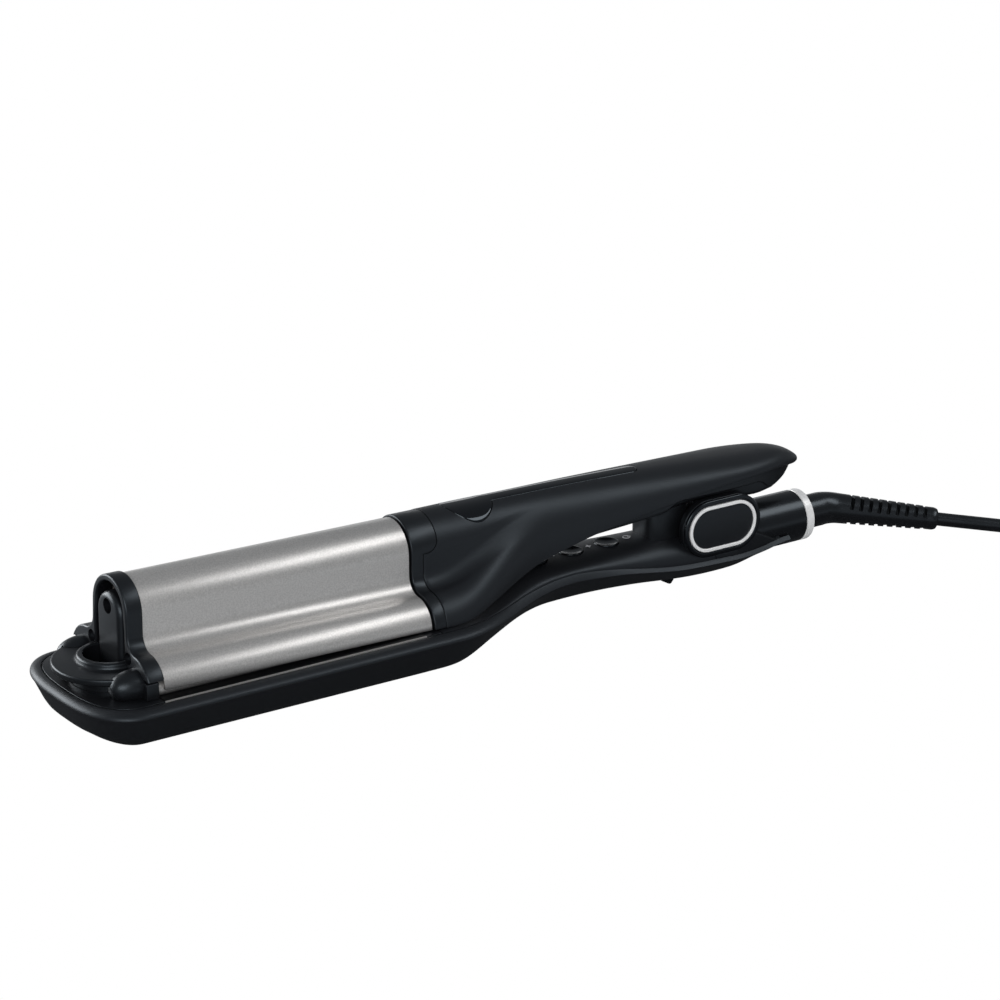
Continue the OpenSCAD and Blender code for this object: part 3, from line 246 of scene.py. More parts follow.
def bell_share(u):
    """The arm's front section at share u of its half, in units of half width and height."""
    lean = radians(LEAN)

    def on(cy, cz, r, a):
        return cy + r * cos(a), cz + r * sin(a)

    if u < CROWN:
        p = on(0, ARCH_Z, ARCH_R, pi / 2 + (lean - pi / 2) * u * PARTS / 5)
    elif u < WAIST:
        a, b = on(0, ARCH_Z, ARCH_R, lean), on(*HOLLOW, HOLLOW_R, pi + lean)
        t = (u - CROWN) * PARTS
        p = (a[0] + (b[0] - a[0]) * t, a[1] + (b[1] - a[1]) * t)
    elif u < HOLLOWED:
        p = on(*HOLLOW, HOLLOW_R, pi + lean + (HOLLOW_A - lean) * (u - WAIST) * PARTS / 3)
    else:
        p = on(LOBE_Y, LOBE_Z, LOBE_R, HOLLOW_A * (1 - (u - HOLLOWED) * PARTS / 5))
    return p[0] / (LOBE_Y + LOBE_R), (p[1] - LOBE_Z) / (ARCH_Z + ARCH_R - LOBE_Z)


def squared_share(u):
    """The arm's rear section at share u of its half, a squared arch."""
    t = radians(90 * (1 - u))
    return max(cos(t), 0.0) ** (2 / ARM_POWER), max(sin(t), 0.0) ** (2 / ARM_POWER)


def arm_half_ring(x):
    """Half section of the arm at station x, from its crest to its edge, in the level jaw."""
    s = ease((x - ARM_X) / (GRIP_X - ARM_X))
    w, low = arm_half(x), in_jaw(x, arm_edge(x))
    high = in_jaw(x, arm_crest(x)) - low
    ring = []
    for u in ARM_SHARES:
        a, b = bell_share(u), squared_share(u)
        ring.append((w * ((1 - s) * a[0] + s * b[0]), low + high * ((1 - s) * a[1] + s * b[1])))
    return ring


# ---- Mesh tools ----

SHARP = 32          # angle in degrees above which an edge stays crisp
WELD = 1e-6         # points nearer than this are one, in metres
AXIS = 0.0001       # radius of a turned profile's points on its axis, in millimetres
THIN = 0.01         # edge rounding of cutting tools
SIDES = ((-1, "left"), (1, "right"))


def row(p):
    """Metres in the row's frame, from millimetres from the dial's axis."""
    return Vector(((p[0] + DIAL_AT) * MM, p[1] * MM, p[2] * MM))


JAW = (Matrix.Translation(row((HINGE_X, 0, HINGE_Z))) @ Matrix.Rotation(JAW_SLOPE, 4, "Y")
       @ Matrix.Translation(-row((HINGE_X, 0, HINGE_Z + NOSE_SINK))))


def placed(name, data):
    """An object in the scene for a mesh, a curve, a lamp or a camera."""
    obj = bpy.data.objects.new(name, data)
    bpy.context.scene.collection.objects.link(obj)
    return obj


def smooth(obj, sharp=SHARP):
    """Shades a piece smooth, but for the edges that turn by more than an angle."""
    obj.data.shade_smooth()
    obj.data.set_sharp_from_angle(angle=radians(sharp))
    return obj


def tidy(obj, sharp=SHARP):
    """Welds a piece's points and turns its faces outward."""
    bm = bmesh.new()
    bm.from_mesh(obj.data)
    bmesh.ops.remove_doubles(bm, verts=bm.verts, dist=WELD)
    bmesh.ops.dissolve_degenerate(bm, edges=bm.edges, dist=WELD / 10)
    bmesh.ops.recalc_face_normals(bm, faces=bm.faces)
    bm.to_mesh(obj.data)
    bm.free()
    return smooth(obj, sharp)


def piece(name, verts, faces, sharp=SHARP):
    """A piece from points in millimetres from the dial's axis."""
    mesh = bpy.data.meshes.new(name)
    mesh.from_pydata([row(v) for v in verts], [], faces)
    return tidy(placed(name, mesh), sharp)


def applied(obj):
    """Turns the modifiers, or a curve, into the piece's own mesh."""
    bpy.context.view_layer.update()
    graph = bpy.context.evaluated_depsgraph_get()
    graph.update()
    mesh = bpy.data.meshes.new_from_object(obj.evaluated_get(graph))
    mesh.transform(obj.matrix_world)
    name = obj.name
    bpy.data.objects.remove(obj)
    mesh.name = name
    return placed(name, mesh)


def skin(name, rings, closed=True, capped=True, sharp=SHARP):
    """Skins a list of equal rings of points."""
    n, m = len(rings[0]), len(rings)
    faces = []
    for i in range(m - 1):
        for j in range(n if closed else n - 1):
            k = (j + 1) % n
            faces.append((i * n + j, i * n + k, (i + 1) * n + k, (i + 1) * n + j))
    if capped:
        faces += [tuple(range(n)), tuple((m - 1) * n + j for j in range(n))]
    return piece(name, [p for r in rings for p in r], faces, sharp)


def mirrored(side):
    """A loop down one side of the piece, under it, and up the other side."""
    return list(side) + [(x, -y, z) for x, y, z in reversed(side)]


def both_sides(half):
    """A line over the top, from the half of it that starts at the top."""
    return [(-y, z) for y, z in reversed(half)] + half[1:]


def turned(*points):
    """A solid's profile: (radius, height) points, closed to the axis at both ends."""
    return [(AXIS, points[0][1]), *points, (AXIS, points[-1][1])]


def lathe(name, profile, axis, at, turns=96, sharp=SHARP):
    """Revolves (radius, height) points about an axis through a point."""
    n = len(profile)
    verts, faces = [], []
    for i in range(turns):
        a, k = 2 * pi * i / turns, (i + 1) % turns
        c, s = cos(a), sin(a)
        for j, (r, h) in enumerate(profile):
            p = {"z": (r * c, r * s, h), "x": (h, r * c, r * s), "-x": (-h, r * c, -r * s),
                 "y": (r * s, h, r * c)}[axis]
            verts.append((at[0] + p[0], at[1] + p[1], at[2] + p[2]))
            m = (j + 1) % n
            faces.append((i * n + j, i * n + m, k * n + m, k * n + j))
    return piece(name, verts, faces, sharp)


def rounded(points, radius, n=5):
    """Rounds the corners of a closed outline, each as far as its edges allow."""
    out = []
    for i, p in enumerate(points):
        a, b = Vector(points[i - 1]), Vector(points[(i + 1) % len(points)])
        p = Vector(p)
        u, v = a - p, b - p
        r = min(radius, u.length * 0.45, v.length * 0.45)
        s, e = p + u.normalized() * r, p + v.normalized() * r
        out += [tuple((1 - t) ** 2 * s + 2 * t * (1 - t) * p + t * t * e) for t in steps(0, 1, n)]
    return out


PLANES = {
    "x": Matrix(((0, 0, 1, 0), (1, 0, 0, 0), (0, 1, 0, 0), (0, 0, 0, 1))),
    "y": Matrix(((1, 0, 0, 0), (0, 0, -1, 0), (0, 1, 0, 0), (0, 0, 0, 1))),
    "z": Matrix.Identity(4),
}


def slab(name, outlines, axis, start, end, edge=0.3, rows=2):
    """A flat piece: outlines in the plane square to an axis, holes after the first, from start to end."""
    curve = bpy.data.curves.new(name, "CURVE")
    curve.dimensions = "2D"
    curve.fill_mode = "BOTH"
    curve.resolution_u = 1
    for outline in outlines:
        spline = curve.splines.new("POLY")
        spline.points.add(len(outline) - 1)
        for point, (a, b) in zip(spline.points, outline):
            point.co = (a * MM, b * MM, 0, 1)
        spline.use_cyclic_u = True
    curve.extrude = (end - start) / 2 * MM - edge * MM
    curve.bevel_depth = edge * MM
    curve.bevel_resolution = rows
    curve.offset = -edge * MM
    obj = placed(name, curve)
    middle = (start + end) / 2
    shift = {"x": (middle + DIAL_AT, 0, 0), "y": (DIAL_AT, middle, 0), "z": (DIAL_AT, 0, middle)}[axis]
    obj.matrix_world = Matrix.Translation(Vector(shift) * MM) @ PLANES[axis]
    return tidy(applied(obj))


def cut(obj, *tools, how="DIFFERENCE", sharp=None):
    """Takes the tools' volume from a piece, keeps only what is inside them, or adds them to it."""
    for tool in tools:
        mod = obj.modifiers.new("cut", "BOOLEAN")
        mod.operation = how
        mod.object = tool
        mod.solver = "MANIFOLD"
    obj = applied(obj)
    for tool in tools:
        bpy.data.objects.remove(tool)
    return tidy(obj, sharp) if sharp else obj


def soften(obj, width):
    """Rounds the sharp edges of a piece."""
    mod = obj.modifiers.new("edge", "BEVEL")
    mod.width = width * MM
    mod.segments = 3
    mod.limit_method = "ANGLE"
    mod.angle_limit = radians(35)
    return tidy(applied(obj))


def joined(name, *objs):
    """One piece made of several that touch or overlap."""
    bm = bmesh.new()
    for o in objs:
        part = o.data.copy()
        part.transform(o.matrix_world)
        bm.from_mesh(part)
        bpy.data.meshes.remove(part)
        bpy.data.objects.remove(o)
    mesh = bpy.data.meshes.new(name)
    bm.to_mesh(mesh)
    bm.free()
    return smooth(placed(name, mesh))


def rod(name, x0, x1, r, z, y=0.0):
    """A round bar along x."""
    return lathe(name, turned((r, x0), (r, x1)), "x", (0, y, z), 64)


def post(name, x, y, r, z0, z1, turns=64):
    """An upright round bar."""
    return lathe(name, turned((r, z0), (r, z1)), "z", (x, y, 0), turns)


def brick(name, x0, x1, y0, y1, z0, z1, edge=0.05):
    """A box, lightly rounded along its length."""
    return slab(name, [[(y0, z0), (y1, z0), (y1, z1), (y0, z1)]], "x", x0, x1, edge)


def sheet_of(x0, x1, y):
    """A rectangle from x0 to x1 that is 2 y wide."""
    return [(x0, -y), (x1, -y), (x1, y), (x0, y)]


def moved(obj, matrix):
    """Carries a piece that was made about the dial's axis to its place in the row."""
    obj.data.transform(matrix @ Matrix.Translation(-row((0, 0, 0))))
    return obj


def fit(obj, body, finish, *nodes, jaw=False):
    """Gives a piece its finish and body, and hides the plain solids that it stands for."""
    if jaw:
        obj.data.transform(JAW)
    obj.data.materials.clear()
    obj.data.materials.append(FINISHES[finish])
    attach(obj, body)
    if nodes:
        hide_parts(*nodes)
    return obj


def dress(finish, *nodes):
    """Gives solids that stay as they are a finish of their own."""
    for name in nodes:
        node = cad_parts[name]
        node.data.materials.clear()
        node.data.materials.append(FINISHES[finish])


# ---- Shader tools ----

# Painted light: the lamps' cool colour, put into the black plastics' specular tint rather than into the
# lamps.
PAINTED_LAMP_TINT = (0.78, 0.9, 1, 1)
COOL_WHITE = (0.9, 0.95, 1, 1)
GRAIN_DEPTH = 0.00004


class Value:
    """A shader socket that takes part in sums."""

    def __init__(self, shader, socket):
        self.shader, self.socket = shader, socket

    def _math(self, kind, *values):
        return self.shader.node("ShaderNodeMath", {"operation": kind}, *values)

    def __add__(self, other):
        return self._math("ADD", self, other)

    def __sub__(self, other):
        return self._math("SUBTRACT", self, other)

    def __rsub__(self, other):
        return self._math("SUBTRACT", other, self)

    def __mul__(self, other):
        return self._math("MULTIPLY", self, other)

    __radd__, __rmul__ = __add__, __mul__

    def clipped(self):
        return self.shader.node("ShaderNodeClamp", {}, self, 0.0, 1.0)


class Shader:
    """The nodes of a material or a world, written as calls."""

    def __init__(self, owner, first="Principled BSDF", last="Material Output"):
        owner.use_nodes = True
        self.owner, self.tree = owner, owner.node_tree
        self.surface = self.tree.nodes[first]
        self.last = self.tree.nodes[last].inputs[0]

    def node(self, kind, settings=None, *values, out=0, **named):
        """Adds a node with its settings, then the values or links of its sockets."""
        made = self.tree.nodes.new(kind)
        for key, value in (settings or {}).items():
            setattr(made, key, value)
        for socket, value in zip(made.inputs, values):
            self.put(socket, value)
        for key, value in named.items():
            self.put(made.inputs[key], value)
        return Value(self, made.outputs[out])

    def put(self, socket, value):
        """Links a value to a socket or sets the socket; None leaves it as it is."""
        if isinstance(value, Value):
            self.tree.links.new(value.socket, socket)
        elif value is not None:
            socket.default_value = value

    def set(self, **values):
        for key, value in values.items():
            self.put(self.surface.inputs[key.replace("_", " ")], value)

    def base(self):
        return Value(self, self.surface.outputs[0])

    def place(self):
        return self.node("ShaderNodeTexCoord", out=3)

    def noise(self, scale, detail=2.0, stretch=None):
        at = self.place()
        if stretch:
            at = self.node("ShaderNodeVectorMath", {"operation": "MULTIPLY"}, at, stretch)
        return self.node("ShaderNodeTexNoise", Vector=at, Scale=scale, Detail=detail)

    def mix(self, share, a, b):
        unused = [None] * 5
        return self.node("ShaderNodeMix", {"data_type": "RGBA"}, share, *unused, a, b, out=2)

    def mottled(self, share, colour, spread):
        """A colour that goes darker and lighter by a spread."""
        return self.mix(share, rgb(colour, 1 - spread), rgb(colour, 1 + spread))

    def bump(self, height, strength):
        return self.node("ShaderNodeBump", Strength=strength, Distance=GRAIN_DEPTH, Height=height)


FINISHES, SLOTS = {}, {}


def finish(key, name, slot):
    shader = Shader(bpy.data.materials.new(name))
    FINISHES[key], SLOTS[key] = shader.owner, slot
    return shader


def rgb(colour, share=1.0):
    return (colour[0] * share, colour[1] * share, colour[2] * share, 1)


def satin_black(key, name, slot, colour, rough, grain):
    """Moulded plastic with a fine spark grain and slightly uneven gloss."""
    s = finish(key, name, slot)
    patch = s.noise(60, 3)
    # Painted light: the specular tint gives the plastic's reflections the lamps' cool colour.
    s.set(Base_Color=s.mottled(patch, colour, 0.08), Roughness=rough - 0.04 + patch * 0.06, IOR=1.5,
          Specular_Tint=PAINTED_LAMP_TINT, Normal=s.bump(s.noise(2600), grain))


# ---- Settings ----

def size(name, description, default, low, high):
    return FloatProperty(name=name, description=description, default=default, min=low, max=high,
                         subtype="DISTANCE", unit="LENGTH")


def tint(name, description, default):
    return FloatVectorProperty(name=name, description=description, default=default, size=3,
                               min=0, max=1, subtype="COLOR")


class WaverShapeSettings(bpy.types.PropertyGroup):
    """Sizes of the covers' edges and details."""
    frame_edge: size("Frame edge", "Rounding of the front frame's edges", 0.0009, 0.0003, 0.0015)
    cap_edge: size("Pod edge", "Rounding of the pivot cap's rim", 0.00085, 0.0003, 0.0009)
    dish: size("Button dish", "Depth of the hollow in each button", 0.0009, 0.0003, 0.0015)
    inlay_rise: size("Inlay rise", "Height of the gloss inlay above the arm", 0.00008, 0.0, 0.0005)


class WaverLeadSettings(bpy.types.PropertyGroup):
    """Sizes of the mains lead."""
    width: size("Lead width", "Diameter of the mains lead", 0.006, 0.005, 0.007)
    rib_gap: size("Slot width", "Width of each slot in the strain relief", 0.0017, 0.001, 0.003)
    ribs: IntProperty(name="Slots", description="Slots in each row of the strain relief",
                      default=9, min=5, max=12)


class WaverFinishSettings(bpy.types.PropertyGroup):
    """Colours of the finishes and strengths of the lamps."""
    shell: tint("Shell", "Soft black of the tray and the arm", (0.008, 0.0083, 0.010))
    cover: tint("Covers", "Black of the frame, dial and handle covers", (0.006, 0.0063, 0.0075))
    gloss: tint("Gloss", "Black of the inlay and the buttons", (0.003, 0.003, 0.004))
    plate: tint("Plates", "Silver of the heated plates", (0.62, 0.605, 0.59))
    trim: tint("Trim", "Silver of the trims and the end ring", (0.97, 0.97, 0.97))
    rubber: tint("Lead", "Black of the lead and its strain relief", (0.007, 0.007, 0.008))
    lamps: FloatProperty(name="Lamps", description="Strength of the studio's lamps",
                         default=1.0, min=0, max=4)


class WaverPiece(bpy.types.Operator):
    """Makes one group of the hair waver's pieces"""
    bl_options = {"REGISTER", "UNDO"}

    def execute(self, context):
        self.make(context.scene)
        return {"FINISHED"}


# ---- Stage ----

CAMERA_AT = Vector((-0.75984013, -1.43737772, 0.66575712))  # metres from the middle of the dial's top
CAMERA_RIGHT = Vector((0.83406154, -0.5516628, -0.00308309))
CAMERA_UP = Vector((0.19381212, 0.2877839, 0.93787914))
CAMERA_LENS, SENSOR = 156.2917, 36
FLOOR_HALF, FLOOR_Z = 6, -0.0006
SHADED_GLOW, UNSHADED_GLOW = 0.06, 0.42  # the floor's glow for glossy faces: dim under the part as painted shade, brighter beside it
BESIDE, FADE = 0.003, 130  # where the brighter glow starts, in square metres, and how fast
SKY = 0.2
AIM = Vector((0, 0, 0.03))
LAMPS = (  # name, place, width, height, watts
    ("main_softbox", (0.9, -0.7, 1.1), 1.2, 0.42, 5.6),
    ("fill_softbox", (-1.0, -1.35, 0.7), 1.2, 0.9, 13.0),
    ("left_softbox", (-0.8, 1.15, 0.42), 1.3, 0.8, 22.0),
    ("back_softbox", (1.0, 1.7, 0.18), 2.2, 0.32, 1.7),
)


class WAVER_OT_stage(WaverPiece):
    """Sets up the camera, the floor and the soft lamps"""
    bl_idname = "waver.stage"
    bl_label = "Camera and studio"

    def make(self, scene):
        scene.view_settings.view_transform = "Standard"
        camera = placed("camera", bpy.data.cameras.new("camera"))
        camera.data.sensor_width, camera.data.lens = SENSOR, CAMERA_LENS
        camera.data.clip_start, camera.data.clip_end = 0.1, 20
        turn = Matrix((CAMERA_RIGHT, CAMERA_UP, CAMERA_RIGHT.cross(CAMERA_UP))).transposed()
        where = CAMERA_AT + Vector((DIAL_AT, 0, DIAL_Z)) * MM
        camera.matrix_world = Matrix.Translation(where) @ turn.to_4x4()
        scene.camera = camera
        self.floor()
        self.world(scene)
        self.lamps(scene.waver_finish.lamps)

    def floor(self):
        """A white floor; glossy faces see it glow dimly under the part, as painted shade, and brighter beside
        it.
        """
        mesh = bpy.data.meshes.new("floor")
        corners = [(x, y, FLOOR_Z) for x, y in sheet_of(-FLOOR_HALF, FLOOR_HALF, FLOOR_HALF)]
        mesh.from_pydata(corners, [], [(0, 1, 2, 3)])
        s = Shader(bpy.data.materials.new("studio_floor"))
        s.set(Base_Color=s.mix(s.noise(40), (0.80, 0.80, 0.80, 1), (0.82, 0.82, 0.82, 1)), Roughness=0.9)
        dim, unshaded = [s.node("ShaderNodeEmission", {}, COOL_WHITE, power)
                       for power in (SHADED_GLOW, UNSHADED_GLOW)]
        # Painted shade: the glow that glossy faces see is dim near the row's line and brighter away from it.
        y = s.node("ShaderNodeSeparateXYZ", {}, s.node("ShaderNodeNewGeometry"), out=1)
        seen = s.node("ShaderNodeMixShader", {}, ((y * y - BESIDE) * FADE).clipped(), dim, unshaded)
        glow = s.node("ShaderNodeEmission", {}, (1, 1, 1, 1), 1.0)
        seen = s.node("ShaderNodeMixShader", {}, s.node("ShaderNodeLightPath", out=3), s.base(), seen)
        s.put(s.last, s.node("ShaderNodeMixShader", {}, s.node("ShaderNodeLightPath"), seen, glow))
        mesh.materials.append(s.owner)
        placed("floor", mesh)

    def world(self, scene):
        """A dim cool sky that the camera sees as white."""
        s = Shader(bpy.data.worlds.new("studio"), "Background", "World Output")
        s.set(Color=COOL_WHITE, Strength=SKY)
        white = s.node("ShaderNodeBackground", Strength=1.0)
        s.put(s.last, s.node("ShaderNodeMixShader", {}, s.node("ShaderNodeLightPath"), s.base(), white))
        scene.world = s.owner

    def lamps(self, strength):
        for name, at, wide, high, watts in LAMPS:
            lamp = bpy.data.lights.new(name, "AREA")
            lamp.shape = "RECTANGLE"
            lamp.size, lamp.size_y, lamp.energy = wide, high, watts * strength
            obj = placed(name, lamp)
            obj.location = at
            obj.rotation_mode = "QUATERNION"
            obj.rotation_quaternion = (AIM - Vector(at)).to_track_quat("-Z", "Y")


# ---- Finishes ----

METALS = (  # finish, material, slot, colour, metallic, scale of the brushing, roughness, its spread
    ("steel", "plain_steel", "steel", (0.56, 0.57, 0.59), 1.0, 700, 0.28, 0.1),
    ("dark_steel", "dark_steel", "steel", (0.1, 0.1, 0.11), 1.0, 700, 0.3, 0.1),
)
PLAIN = (  # finish and slot, colour, roughness
    ("board", (0.02, 0.12, 0.05), 0.5),
    ("ceramic", (0.6, 0.55, 0.45), 0.7),
    ("mark", (0.5, 0.51, 0.53), 0.6),
)
SKIRT_SHADE = 0.8   # painted shade: how far under the skirt's line the plate's colour goes black, in millimetres
DECK_SHADE = 0.6   # painted shade: how far over the deck the lower plate's colour starts to turn silver


class WAVER_OT_finishes(WaverPiece):
    """Makes the plastics, plates, metals and rubber"""
    bl_idname = "waver.finishes"
    bl_label = "Finishes"

    def make(self, scene):
        tone = scene.waver_finish
        satin_black("shell", "soft_touch_shell", "shell", tone.shell, 0.46, 0.15)
        satin_black("cover", "satin_cover", "cover", tone.cover, 0.36, 0.1)
        satin_black("barrel", "polished_barrel", "semi_gloss", tone.cover, 0.24, 0.08)
        satin_black("pod", "polished_pod", "semi_gloss", tone.gloss, 0.2, 0.05)
        satin_black("rubber", "lead_rubber", "lead", tone.rubber, 0.27, 0.12)
        s = finish("gloss", "piano_gloss", "gloss_black")
        haze = s.noise(35, 3)
        # Painted light: the specular tint gives the gloss's reflections the lamps' cool colour.
        s.set(Base_Color=s.mottled(haze, tone.gloss, 0.1), Roughness=0.05 + haze * 0.03, IOR=1.52,
              Specular_Tint=PAINTED_LAMP_TINT)
        for key, name in (("plate", "ceramic_plate"), ("low_plate", "lower_plate")):
            self.plate(tone, key, name)
        trim = ("trim", "satin_trim", "trim", tone.trim, 0.1, 900, 0.28, 0.08)
        for key, name, slot, colour, metal, scale, rough, spread in (trim, *METALS):
            s = finish(key, name, slot)
            s.set(Base_Color=rgb(colour), Metallic=metal, Roughness=rough + s.noise(scale) * spread)
        for key, colour, rough in PLAIN:
            s = finish(key, key + "_face", key)
            s.set(Base_Color=s.mottled(s.noise(500), colour, 0.1), Roughness=rough)

    def plate(self, tone, key, name):
        """Silver with a spark grain, with painted shade that blackens it where a plate dips to the deck."""
        s = finish(key, name, "plate")
        spark = s.noise(1500)
        cloud = s.noise(28, 3, (0.25, 1, 1))
        glint = ((spark - 0.3) * 2.5).clipped()
        x, y, z = [s.node("ShaderNodeSeparateXYZ", {}, s.place(), out=i) * 1000 for i in range(3)]
        if key == "plate":
            # Painted shade: the upper plate's colour goes black towards the skirt's lower edge, as painted
            # shade and a painted dark reflection of the deck.
            tilt = sin(JAW_SLOPE)
            height = z + x * tilt - (SKIRT_Z - NOSE_SINK + (HINGE_X + DIAL_AT) * tilt)
            unshaded = ((height + SKIRT_SHADE) * (x * 0.0015 + 0.41)).clipped()
        else:
            # Painted shade: the lower plate's colour goes black close to the deck, under the upper plate,
            # except at the strip's outer edge.
            border = ((y * y - STRIP_Y ** 2) * 0.05).clipped()
            unshaded = 1 - (1 - border) * (1 - ((z - (TRAY_H + DECK_SHADE)) * 0.4).clipped())
        silver = s.mottled(glint, tone.plate, 0.12)
        s.set(Base_Color=s.mix(unshaded, rgb(tone.cover), silver), Metallic=0.65,
              Roughness=0.33 + cloud * 0.06, Normal=s.bump(spark, 0.3))


# ---- Tray and handle ----

SEATS = ((22, 27), (120, 27), (22, -27), (120, -27))


class WAVER_OT_shell(WaverPiece):
    """Makes the lower shell with its rounded rim, and the deck"""
    bl_idname = "waver.shell"
    bl_label = "Lower shell and deck"

    def levels(self, x):
        """The shell's side at station x, from the lip inside the rim to the flat below, as (out, height)."""
        w, z, fall = rim(x), parting(x), rim_fall(x)
        b, inward = underside(x), underside_in(x)
        pts = [(-1.3, z - 1.6), (-1.25, z - 1.1), (-0.2, z - 1.1), (-0.05, z - 1.0), (0.0, z - 0.35),
               (0.12, z - 0.12)]
        flat = 1 + between(0, 0.85, SHOULDER_X, SHOULDER_X + 45, x)
        pts += [(w * sin(radians(a)) ** flat, z - fall * (1 - cos(radians(a)) ** flat))
                for a in steps(8, 89.9, 15)]
        pts += [(share * w, z - drop * fall) for share, drop in ((0.985, 1.04), (0.93, 1.1), (0.885, 1.17))]
        start, end = (0.88 * w, z - 1.2 * fall), (-inward - 0.9, b + 0.3 * 0.89 * (z - b))
        run, drop = end[0] - start[0], end[1] - start[1]
        pts += [(start[0] + run * t, start[1] + drop * t) for t in steps(0.12, 1, 7)]
        knee, foot = (end[0] + run / drop * (b - end[1]), b), (-inward - 7.2, b)
        for t in steps(0, 1, 12)[1:]:
            pts.append(tuple((1 - t) ** 2 * end[i] + 2 * t * (1 - t) * knee[i] + t * t * foot[i]
                             for i in (0, 1)))
        return pts

    def make(self, scene):
        rings = []
        for phi in [90.0, 89.8] + steps(89, 0.5, 46):
            side = []
            for out, z in self.levels(0):
                inward = 1.6 if z < 17 and out < -1.4 else 1.0
                side.append((*nose_point(radians(phi), out, out * (0.7 if out > 0 else inward)), z))
            rings.append(mirrored(side))
        for x in steps(2, ARM_X, 10) + steps(SHOULDER_X, GRIP_X, 30) + steps(GRIP_X + 3, SHELL_END, 46):
            half = half_width(x)
            rings.append(mirrored([(x, max(half + out, 0.4), z) for out, z in self.levels(x)]))
        shell = skin("tray_shell", rings, closed=False, capped=False, sharp=28)
        bm = bmesh.new()
        bm.from_mesh(shell.data)
        bmesh.ops.holes_fill(bm, edges=[e for e in bm.edges if e.is_boundary], sides=0)
        bm.to_mesh(shell.data)
        bm.free()
        tidy(shell, 28)
        tools = [post("seat", x, y, 2.6, -1, 1.8) for x, y in SEATS]
        bore = turned((BARREL_R + 0.15, HINGE_X + 8), (BARREL_R - 0.05, RING_X))
        tools.append(lathe("barrel_seat", bore, "x", (0, 0, BARREL_Z)))
        fit(cut(shell, *tools, sharp=28), "base", "shell", "lower_shell")
        self.deck()

    def deck(self):
        gap = 0.6
        outline = [nose_point(radians(phi), -gap, -gap) for phi in steps(0.5, 89.5, 60)]
        outline = [(COLLAR_X + 1.6, HALF_TRAY - gap)] + outline
        outline += [(x, -y) for x, y in reversed(outline)]
        slot = sheet_of(25.2, 133.3, 10)
        ring = arc(0, 0, BEARING_R, 0, 2 * pi, 96)[:-1]
        deck = slab("deck_plate", [outline, ring, slot], "z", TRAY_H - DECK, TRAY_H, 0.15)
        fit(deck, "base", "cover", "deck")


class WAVER_OT_barrels(WaverPiece):
    """Makes the lower side barrels with their silver strips, and their round noses"""
    bl_idname = "waver.barrels"
    bl_label = "Side barrels and noses"

    def make(self, scene):
        z, end = TRAY_H - 0.7, 129
        for side, name in SIDES:
            outline = [(29.2, z)] + arc(24.5, TRAY_H + 1.9, 4.7, 0, pi, 40) + [(19.8, z)]
            barrel = slab("barrel_" + name, [[(side * y, h) for y, h in outline]], "x", 5.2, end, 0.25)
            strip = [(15, z - 0.1), (35.3, z - 0.1), (35.3, z + 1.1), (15, z + 1.1)]
            strip = slab("strip_" + name, [[(side * y, h) for y, h in strip]], "x", 5.6, end, 0.12)
            room = post("slot", 0, 0, DIAL_ROOM, DIAL_Z - 4.4, 30, 128)
            both = cut(joined("side_barrel_" + name, barrel, strip), room, sharp=SHARP)
            fit(both, "base", "low_plate", "side_barrel_" + name)
            self.nose(side, name)

    def nose(self, side, name):
        radius, reach = 6.8, 12.9
        curve = [squared(radians(a), 2 / 0.85) for a in steps(0, 90, 28)]
        profile = [(max(radius * c, AXIS), reach * s) for c, s in curve] + [(AXIS, 0)]
        dome = lathe("dome", profile, "-x", (0.7, side * 21.8, TRAY_H + 4.2), 72)
        y0, y1 = sorted((side * 18.05, side * 31.4))
        foot = soften(brick("foot", -0.6, 5.0, y0, y1, TRAY_H + 0.05, TRAY_H + 7.1), 0.5)
        below = slab("below", [sheet_of(-40, 40, 60)], "z", TRAY_H - 30, TRAY_H, THIN)
        dome = cut(dome, below, *self.room(), sharp=30)
        foot = cut(foot, *self.room(), sharp=30)
        fit(joined("nose_" + name, dome, foot), "base", "cover", "nose_cap_" + name)

    def room(self):
        """The space of the turning dial and of its bearing."""
        return (post("slot", 0, 0, DIAL_R + 0.15, DIAL_Z - 3.1, DIAL_Z + 0.1, 160),
                post("bearing", 0, 0, BEARING_R, 0, 23, 96))


